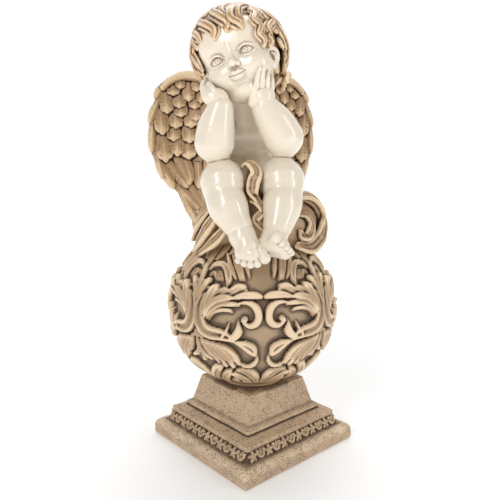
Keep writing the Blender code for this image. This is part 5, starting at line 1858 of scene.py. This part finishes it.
@dataclass
class Plinth:
    """The stepped square plinth, run as a moulding, with its band of flowers."""

    turn: float = 34.5
    slab_half: float = 75.5
    slab_height: float = 16.0
    band_foot: float = 64.0
    band_top: float = 60.0
    band_height: float = 10.0
    fillet_half: float = 61.5
    fillet_height: float = 4.6
    bead_half: float = 50.5
    block_foot: float = 45.6
    block_top: float = 39.2
    flowers: int = 6
    spacing: float = 1.3

    def profile(self) -> Array:
        """The moulding's section, as rows of (half width, height) from the foot up."""
        top = SETTING.plinth_top
        slab, band = self.slab_height, self.slab_height + self.band_height
        fillet = band + self.fillet_height
        rows: list[tuple[float, float]] = [(self.slab_half - 4.0, 0.0)]
        rows += self._arc(self.slab_half - 3.4, 3.4, 3.4, -90, 0)
        rows += self._arc(self.slab_half - 6.6, slab - 6.6, 6.6, 0, 90)
        rows += [(self.band_foot + 3.0, slab - 0.3), (self.band_foot + 0.8, slab + 0.4),
            (self.band_foot, slab + 1.6)]
        rows += [(self.band_top + 0.4, band - 1.2), (self.band_top + 0.2, band)]
        rows += self._arc(self.fillet_half - 1.0, band + 1.0, 1.0, -90, 0)
        rows += self._arc(self.fillet_half - 1.2, fillet - 1.2, 1.2, 0, 90)
        rows += [(self.bead_half + 4.0, fillet + 1.2), (self.bead_half + 1.0, fillet + 2.2)]
        rows += self._arc(self.bead_half - 2.0, fillet + 5.2, 2.2, -60, 80)
        rows += [(self.block_foot + 1.4, fillet + 8.2), (self.block_foot, fillet + 9.6)]
        rows += self._arc(self.block_top - 1.4, top - 1.4, 1.4, 0, 90)
        return np.array(rows)

    @staticmethod
    def _arc(across: float, up: float, radius: float, start: float,
            end: float) -> list[tuple[float, float]]:
        """A round edge as a few points of the section."""
        angles = np.radians(np.linspace(start, end, 5))
        return [(across + radius * math.cos(a), up + radius * math.sin(a)) for a in angles]

    def body(self) -> Skin:
        """Runs the section round the square and closes it above and below."""
        section = self._even(self.profile())
        count = int(2 * self.slab_half / self.spacing)
        share = np.linspace(-1, 1, count, endpoint=False)
        points = []
        for across, up in section:
            side = np.stack([share * across, np.full(count, -across), np.full(count, up)], 1)
            points.append(np.vstack([side @ turned("Z", 90 * k).T for k in range(4)]))
        number = np.arange(len(section) * 4 * count).reshape(len(section), 4 * count)
        cloud, faces = self._worn(np.vstack(points)), bands(number)
        whole = cloud
        for ring, flip in ((number[0], True), (number[-1], False)):
            made, lid = self._lid(cloud, ring, flip, len(whole))
            whole, faces = np.vstack([whole, made]), np.vstack([faces, lid])
        cloud = whole
        skin = Skin(cloud @ turned("Z", self.turn).T, faces)
        skin.read_relief(2, 4, 2.8)
        low, high = self.slab_height + 0.8, self.slab_height + self.band_height - 0.4
        x, y, z = cloud.T
        band = (z > low) & (z < high) & (np.maximum(np.abs(x), np.abs(y)) > self.bead_half)
        # Painted shadow: the plinth's top round the ball's foot ring is darkened as if the ball shaded it.
        collar = (z > SETTING.plinth_top - 1.5) & (np.hypot(x, y) < 42)
        skin.masks["recess"] = np.maximum(skin.masks["recess"], 0.68 * band + 0.5 * collar)
        return skin

    def _even(self, rows: Array) -> Array:
        """The section with extra points, so that no step is much longer than the spacing."""
        found = [rows[0]]
        for a, b in zip(rows, rows[1:]):
            steps = max(1, int(math.dist(a, b) / self.spacing))
            found += [a + (b - a) * (i + 1) / steps for i in range(steps)]
        return np.array(found)

    @staticmethod
    def _worn(points: Array) -> Array:
        """Softly uneven faces, as hand-finished plaster has, with the underside left flat."""
        nose = 2.8
        plan = points[:, :2]
        middle = np.abs(plan).max(1, keepdims=True) - nose
        past = np.abs(plan) - middle
        corner = (past > 0).all(1, keepdims=True)
        rounded = middle + past * nose / np.maximum(np.linalg.norm(past, axis=1, keepdims=True), nose)
        points = np.hstack([np.where(corner, np.sign(plan) * rounded, plan), points[:, 2:]])
        x, y, z = points.T
        wave = 0.22 * np.sin(x * 0.11 + 1.3) * np.sin(z * 0.31 + y * 0.07)
        wave += 0.16 * np.sin(y * 0.13 + z * 0.5 + 0.4)
        wave += 0.1 * np.sin(x * 0.41 + y * 0.37) * np.sin(z * 0.9)
        out = np.stack([np.sign(x) * (np.abs(x) >= np.abs(y)), np.sign(y) * (np.abs(y) >= np.abs(x)),
            np.zeros_like(x)], 1)
        fade = np.clip(z / 3.0, 0, 1) * np.clip((SETTING.plinth_top - z) / 2.0, 0, 1)
        return points - out * ((wave + 0.35) * fade * 0.7)[:, None]

    @staticmethod
    def _lid(points: Array, ring: Array, flip: bool, start: int) -> tuple[Array, Array]:
        """Closes an end with rings that shrink to its middle.

        Args:
            points: The moulding's points.
            ring: Numbers of the end's points.
            flip: Whether the faces look down.
            start: The number that the first new point gets.

        Returns:
            The new points and faces.
        """
        shares = (0.8, 0.6, 0.4, 0.2, 0.001)
        edge = points[ring]
        rows = [ring]
        made = []
        for k, share in enumerate(shares):
            made.append(edge * [share, share, 1.0])
            rows.append(start + k * len(ring) + np.arange(len(ring)))
        faces = []
        for low, high in zip(rows, rows[1:]):
            quad = np.stack([low, np.roll(low, -1), np.roll(high, -1), high], 1)
            faces.append(quad[:, ::-1] if flip else quad)
        return np.vstack(made), np.vstack(faces)

    def flower(self) -> Skin:
        """One flower of the band with the scroll that leads to the next, on the front face."""
        pitch = 2 * (self.band_top + 0.5) / self.flowers
        clay = Clay((-pitch * 0.62, -6.0, -6.5), (pitch * 0.62, 4.0, 6.5), 0.4)
        heart = -pitch / 4
        clay.egg((heart, -1.2, 0), (1.7, 2.4, 1.7), 0.2)
        for k in range(5):
            angle = math.tau * k / 5 + 0.3
            across, up = math.cos(angle), math.sin(angle)
            clay.cord(((heart + across, 0, up, 0.9), (heart + 2.6 * across, -1.4, 2.6 * up, 1.5),
                (heart + 4.0 * across, -0.9, 4.0 * up, 1.4)), 0.2, 3)
        arc = [(-heart + 3.7 * math.cos(a), -1.0 + 0.5 * math.sin(a), 1.4 + 4.2 * math.sin(a), 1.3)
            for a in np.radians(np.linspace(165, 375, 9))]
        clay.cord(arc, 0.3)
        for spot in (arc[0], arc[-1]):
            clay.egg((spot[0], -1.3, spot[2] + 0.6), (1.7, 2, 1.6), 0.3)
        tongue = ((-heart - 1, 0, -1.2, 0.9), (-heart, -1.2, 1.4, 1.3), (-heart + 1, -0.6, 4.2, 0.8))
        clay.cord(tongue, 0.3, 3)
        skin = Skin.of(clay, 1, (3, 10, 1.2))
        lean = math.degrees(math.atan2(self.band_foot - self.band_top, self.band_height))
        skin.points = skin.points @ turned("X", -lean).T
        first = -(self.band_top + 0.5) + pitch / 2
        skin.points += [first, -(self.band_foot + self.band_top) / 2 - 0.3,
            self.slab_height + self.band_height * 0.48]
        return skin


# Building

class Studio:
    """Floor, light and camera."""

    AZIMUTH = -7.28
    ELEVATION = 6.4
    DISTANCE = 558.0
    AIM_HEIGHT = 222.6
    LENS = 38.95
    SHIFT = (-0.004, -0.042)
    # Name, place in metres, width and height, and watts
    LAMPS = (("key", (-0.75, -1.0, 1.0), (0.25, 0.9), 8.5), ("fill", (0.9, -0.7, 0.6), (0.15, 0.9), 3.4),
        ("top", (0.1, 0.3, 1.4), (0.9, 0.9), 7.0))
    LAMP_AIM = (0, 0, 0.25)

    def build(self) -> None:
        """Sets the stage, with plain display colours so that white stays white."""
        bpy.context.scene.view_settings.view_transform = "Standard"
        self._floor()
        self._camera()
        self._lights()

    @staticmethod
    def _floor() -> None:
        """A plain pale floor that grows lighter away from the figure, so that no edge of it shows."""
        mesh = bpy.data.meshes.new("floor")
        half = 6.0
        mesh.from_pydata([(-half, -half, 0), (half, -half, 0), (half, half, 0), (-half, half, 0)], [],
            [(0, 1, 2, 3)])
        pale = bpy.data.materials.new("pale_floor")
        pale.use_nodes = True
        wires = Wiring(pale.node_tree)
        reach = wires.node("ShaderNodeVectorMath", {0: wires.place()}, operation="LENGTH").outputs["Value"]
        feeds = {"Base Color": (0.9, 0.9, 0.9), "Roughness": 0.6, "Emission Color": (1, 1, 1),
            "Emission Strength": wires.ramp(reach, 0.12, 1.2, 0.17, 0.85)}
        for label, value in feeds.items():
            wires.feed(pale.node_tree.nodes["Principled BSDF"].inputs[label], value)
        mesh.materials.append(pale)
        shown("floor", mesh)

    def _camera(self) -> None:
        """The photograph's viewpoint."""
        azimuth, elevation = math.radians(self.AZIMUTH), math.radians(self.ELEVATION)
        back = np.array([math.sin(azimuth) * math.cos(elevation),
            -math.cos(azimuth) * math.cos(elevation), math.sin(elevation)])
        right = np.array([math.cos(azimuth), math.sin(azimuth), 0.0])
        up = np.cross(back, right)
        place = (np.array([0, 0, self.AIM_HEIGHT]) + back * self.DISTANCE) * MM
        data = bpy.data.cameras.new("camera")
        data.sensor_width = 36.0
        data.lens = self.LENS
        data.shift_x, data.shift_y = self.SHIFT
        data.clip_start = 0.01
        camera = shown("camera", data)
        rows = [[*row, at] for row, at in zip(np.stack([right, up, back], 1), place)]
        camera.matrix_world = Matrix([*rows, [0, 0, 0, 1]])
        bpy.context.scene.camera = camera

    def _lights(self) -> None:
        """A white room that darkens to the back, a soft key at the upper left, a fill and a top light."""
        world = bpy.data.worlds.new("white_room")
        bpy.context.scene.world = world
        world.use_nodes = True
        wires = Wiring(world.node_tree)
        way = wires.node("ShaderNodeTexCoord").outputs["Generated"]
        back = wires.node("ShaderNodeSeparateXYZ", {0: way}).outputs["Y"]
        background = world.node_tree.nodes["Background"].inputs
        wires.feed(background["Color"], (1, 1, 1))
        wires.feed(background["Strength"], wires.ramp(back, -0.1, 0.75, 0.2, 1.0))
        for name, place, size, power in self.LAMPS:
            data = bpy.data.lights.new(name, "AREA")
            data.shape = "RECTANGLE"
            data.size, data.size_y = size
            data.energy = power
            lamp = shown(name, data)
            lamp.location = place
            lamp.rotation_euler = (Vector(self.LAMP_AIM) - Vector(place)).to_track_quat("-Z",
                "Y").to_euler()


class Workshop:
    """Builds the pieces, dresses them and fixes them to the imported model."""

    # The map of the casting, in millimetres
    MAP_LOW = (-110, -110, -170)
    MAP_HIGH = (100, 110, 225)
    MAP_STEP = 1.5
    # Blurs of the map, in cells, and how far off a surface each is read, in millimetres
    NEAR_REACH, NEAR_OFF = 2, 2.0
    FAR_REACH, FAR_OFF = 6, 5.0
    # Shares of plaster round a place in the open, and round one where the wash and painted shade are full
    CLEAR, BURIED = 0.42, 0.76

    def __init__(self) -> None:
        """Makes the shared tools."""
        self.kit = ShaderKit()
        self.repeater = Repeater()

    def finish(self, piece: Thing, part: Part, node: str, slot: str) -> None:
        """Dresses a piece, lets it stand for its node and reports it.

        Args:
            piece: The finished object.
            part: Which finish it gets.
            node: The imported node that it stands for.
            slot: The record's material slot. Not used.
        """
        self.close(piece.data)
        piece.data.materials.clear()
        piece.data.materials.append(self.kit.material(part))
        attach(piece, "root")
        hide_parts(node)
        piece.data.calc_loop_triangles()
        log.info("%s: %d triangles", piece.name, len(piece.data.loop_triangles))

    @staticmethod
    def close(mesh: bpy.types.Mesh) -> None:
        """Welds the open seams of a mesh and puts flat lids on what is still open."""
        shell = bmesh.new()
        shell.from_mesh(mesh)
        rim = [vert for vert in shell.verts if vert.is_boundary]
        bmesh.ops.remove_doubles(shell, verts=rim, dist=0.02 * MM)
        rim = [edge for edge in shell.edges if edge.is_boundary]
        if rim:
            lids = bmesh.ops.holes_fill(shell, edges=rim, sides=0)["faces"]
            for lid in lids:
                lid.smooth = False
            bmesh.ops.triangulate(shell, faces=lids)
        shell.to_mesh(mesh)
        shell.free()

    def casting(self) -> None:
        """The cherub, its hair, wings and cloth, and the ball, washed as one, with painted shade where the
        parts shut each other in.
        """
        slot = "antique_plaster"
        head, body, ball = Head(), Body(), Ball()
        right = Wing("wing_right", -1, -28.0, 77.0, 24.0, 36.0)
        left = Wing("wing_left", 1, 14.0, 60.0, 28.0, 54.0)
        jobs = (
            ("face", head.face, Part.SKIN), ("hair", head.hair, Part.HAIR),
            ("torso_and_limbs", body.torso_and_limbs, Part.SKIN), ("hands", body.hands, Part.SKIN),
            ("feet", body.feet, Part.SKIN), (right.name, right.carve, Part.FEATHER),
            (left.name, left.carve, Part.FEATHER), ("cloth", Cloth().drape, Part.CLOTH),
        )
        skins = [(name, make(), part) for name, make, part in jobs]
        mass = Mass(self.MAP_LOW, self.MAP_HIGH, self.MAP_STEP)
        for _, skin, _ in skins:
            for hold in skin.holds:
                mass.add(hold, skin.points.min(0), skin.points.max(0))
        mass.add(ball.holds, np.array((-84, -84, -165)), np.array((84, 84, 4)))
        near, far = spread(mass.full, self.NEAR_REACH), spread(mass.full, self.FAR_REACH)
        for name, skin, part in skins:
            normals = skin.normals()
            close = mass.shut_in(skin.points, normals, near, self.NEAR_OFF)
            wide = mass.shut_in(skin.points, normals, far, self.FAR_OFF)
            # Painted shade, with the wash: each point is darkened by how much plaster stands round it, as
            # occlusion would shade it.
            shut = (np.maximum(close, wide) - self.CLEAR) / (self.BURIED - self.CLEAR)
            skin.masks["wash_and_shade"] = skin.relaxed(np.clip(shut, 0, 1), 2)
            self.finish(skin.piece(name, SETTING.ball_top), part, CASTING, slot)
        self.ball(ball, mass, far, slot)

    def ball(self, ball: Ball, mass: Mass, far: Array, slot: str) -> None:
        """The ball, made as one quarter that is turned round the upright axis, and its foot.

        Args:
            ball: The ball's sizes.
            mass: The map of the casting.
            far: The map's broad blur.
            slot: The record's material slot.
        """
        for name, quarter in ball.sector().items():
            unit = quarter.piece(name + "_quarter", SETTING.ball_centre)
            made = self.repeater.repeat(unit, name, 1, 0.0, ball.sectors, self.kit.material(Part.BALL))
            mesh = made.data
            points = np.empty(len(mesh.vertices) * 3, np.float32)
            mesh.vertices.foreach_get("co", points)
            whole = points.reshape(-1, 3).astype(float) / MM - [0, 0, SETTING.ball_top]
            out = whole + [0, 0, SETTING.ball_radius]
            out /= np.maximum(np.linalg.norm(out, axis=1, keepdims=True), 1e-6)
            # Painted shade, with the wash: the ball darkens where the cloth and the figure close round it.
            shut = mass.shut_in(whole, out, far, 9.0)
            wash_and_shade = mesh.attributes.new("wash_and_shade", "FLOAT", "POINT")
            wash_and_shade.data.foreach_set("value", np.clip((shut - 0.2) / 0.3, 0, 1).astype(np.float32))
            mesh.shade_smooth()
            self.finish(made, Part.BALL, CASTING, slot)
        ring = ball.foot_ring()
        ring.read_relief(3, 12, 2.0)
        self.finish(ring.piece("ball_foot", SETTING.ball_centre), Part.BALL, CASTING, slot)

    def plinth(self) -> None:
        """The plinth and its band of flowers."""
        slot = "plinth_plaster"
        plinth = Plinth()
        self.finish(plinth.body().piece("plinth_moulding", 0.0), Part.STONE, PLINTH, slot)
        pitch = 2 * (plinth.band_top + 0.5) / plinth.flowers
        flower = plinth.flower().piece("flower", 0.0)
        band = self.repeater.repeat(flower, "band_of_flowers", plinth.flowers, pitch * MM, 4,
            self.kit.material(Part.STONE))
        band.data.transform(Matrix.Rotation(math.radians(plinth.turn), 4, "Z"))
        band.data.shade_smooth()
        self.finish(band, Part.STONE, PLINTH, slot)


def main() -> None:
    """Builds the plinth, the casting and the stage."""
    logging.basicConfig(level=logging.INFO, format="%(message)s")
    shop = Workshop()
    shop.plinth()
    shop.casting()
    Studio().build()


if __name__ == "__main__":
    main()
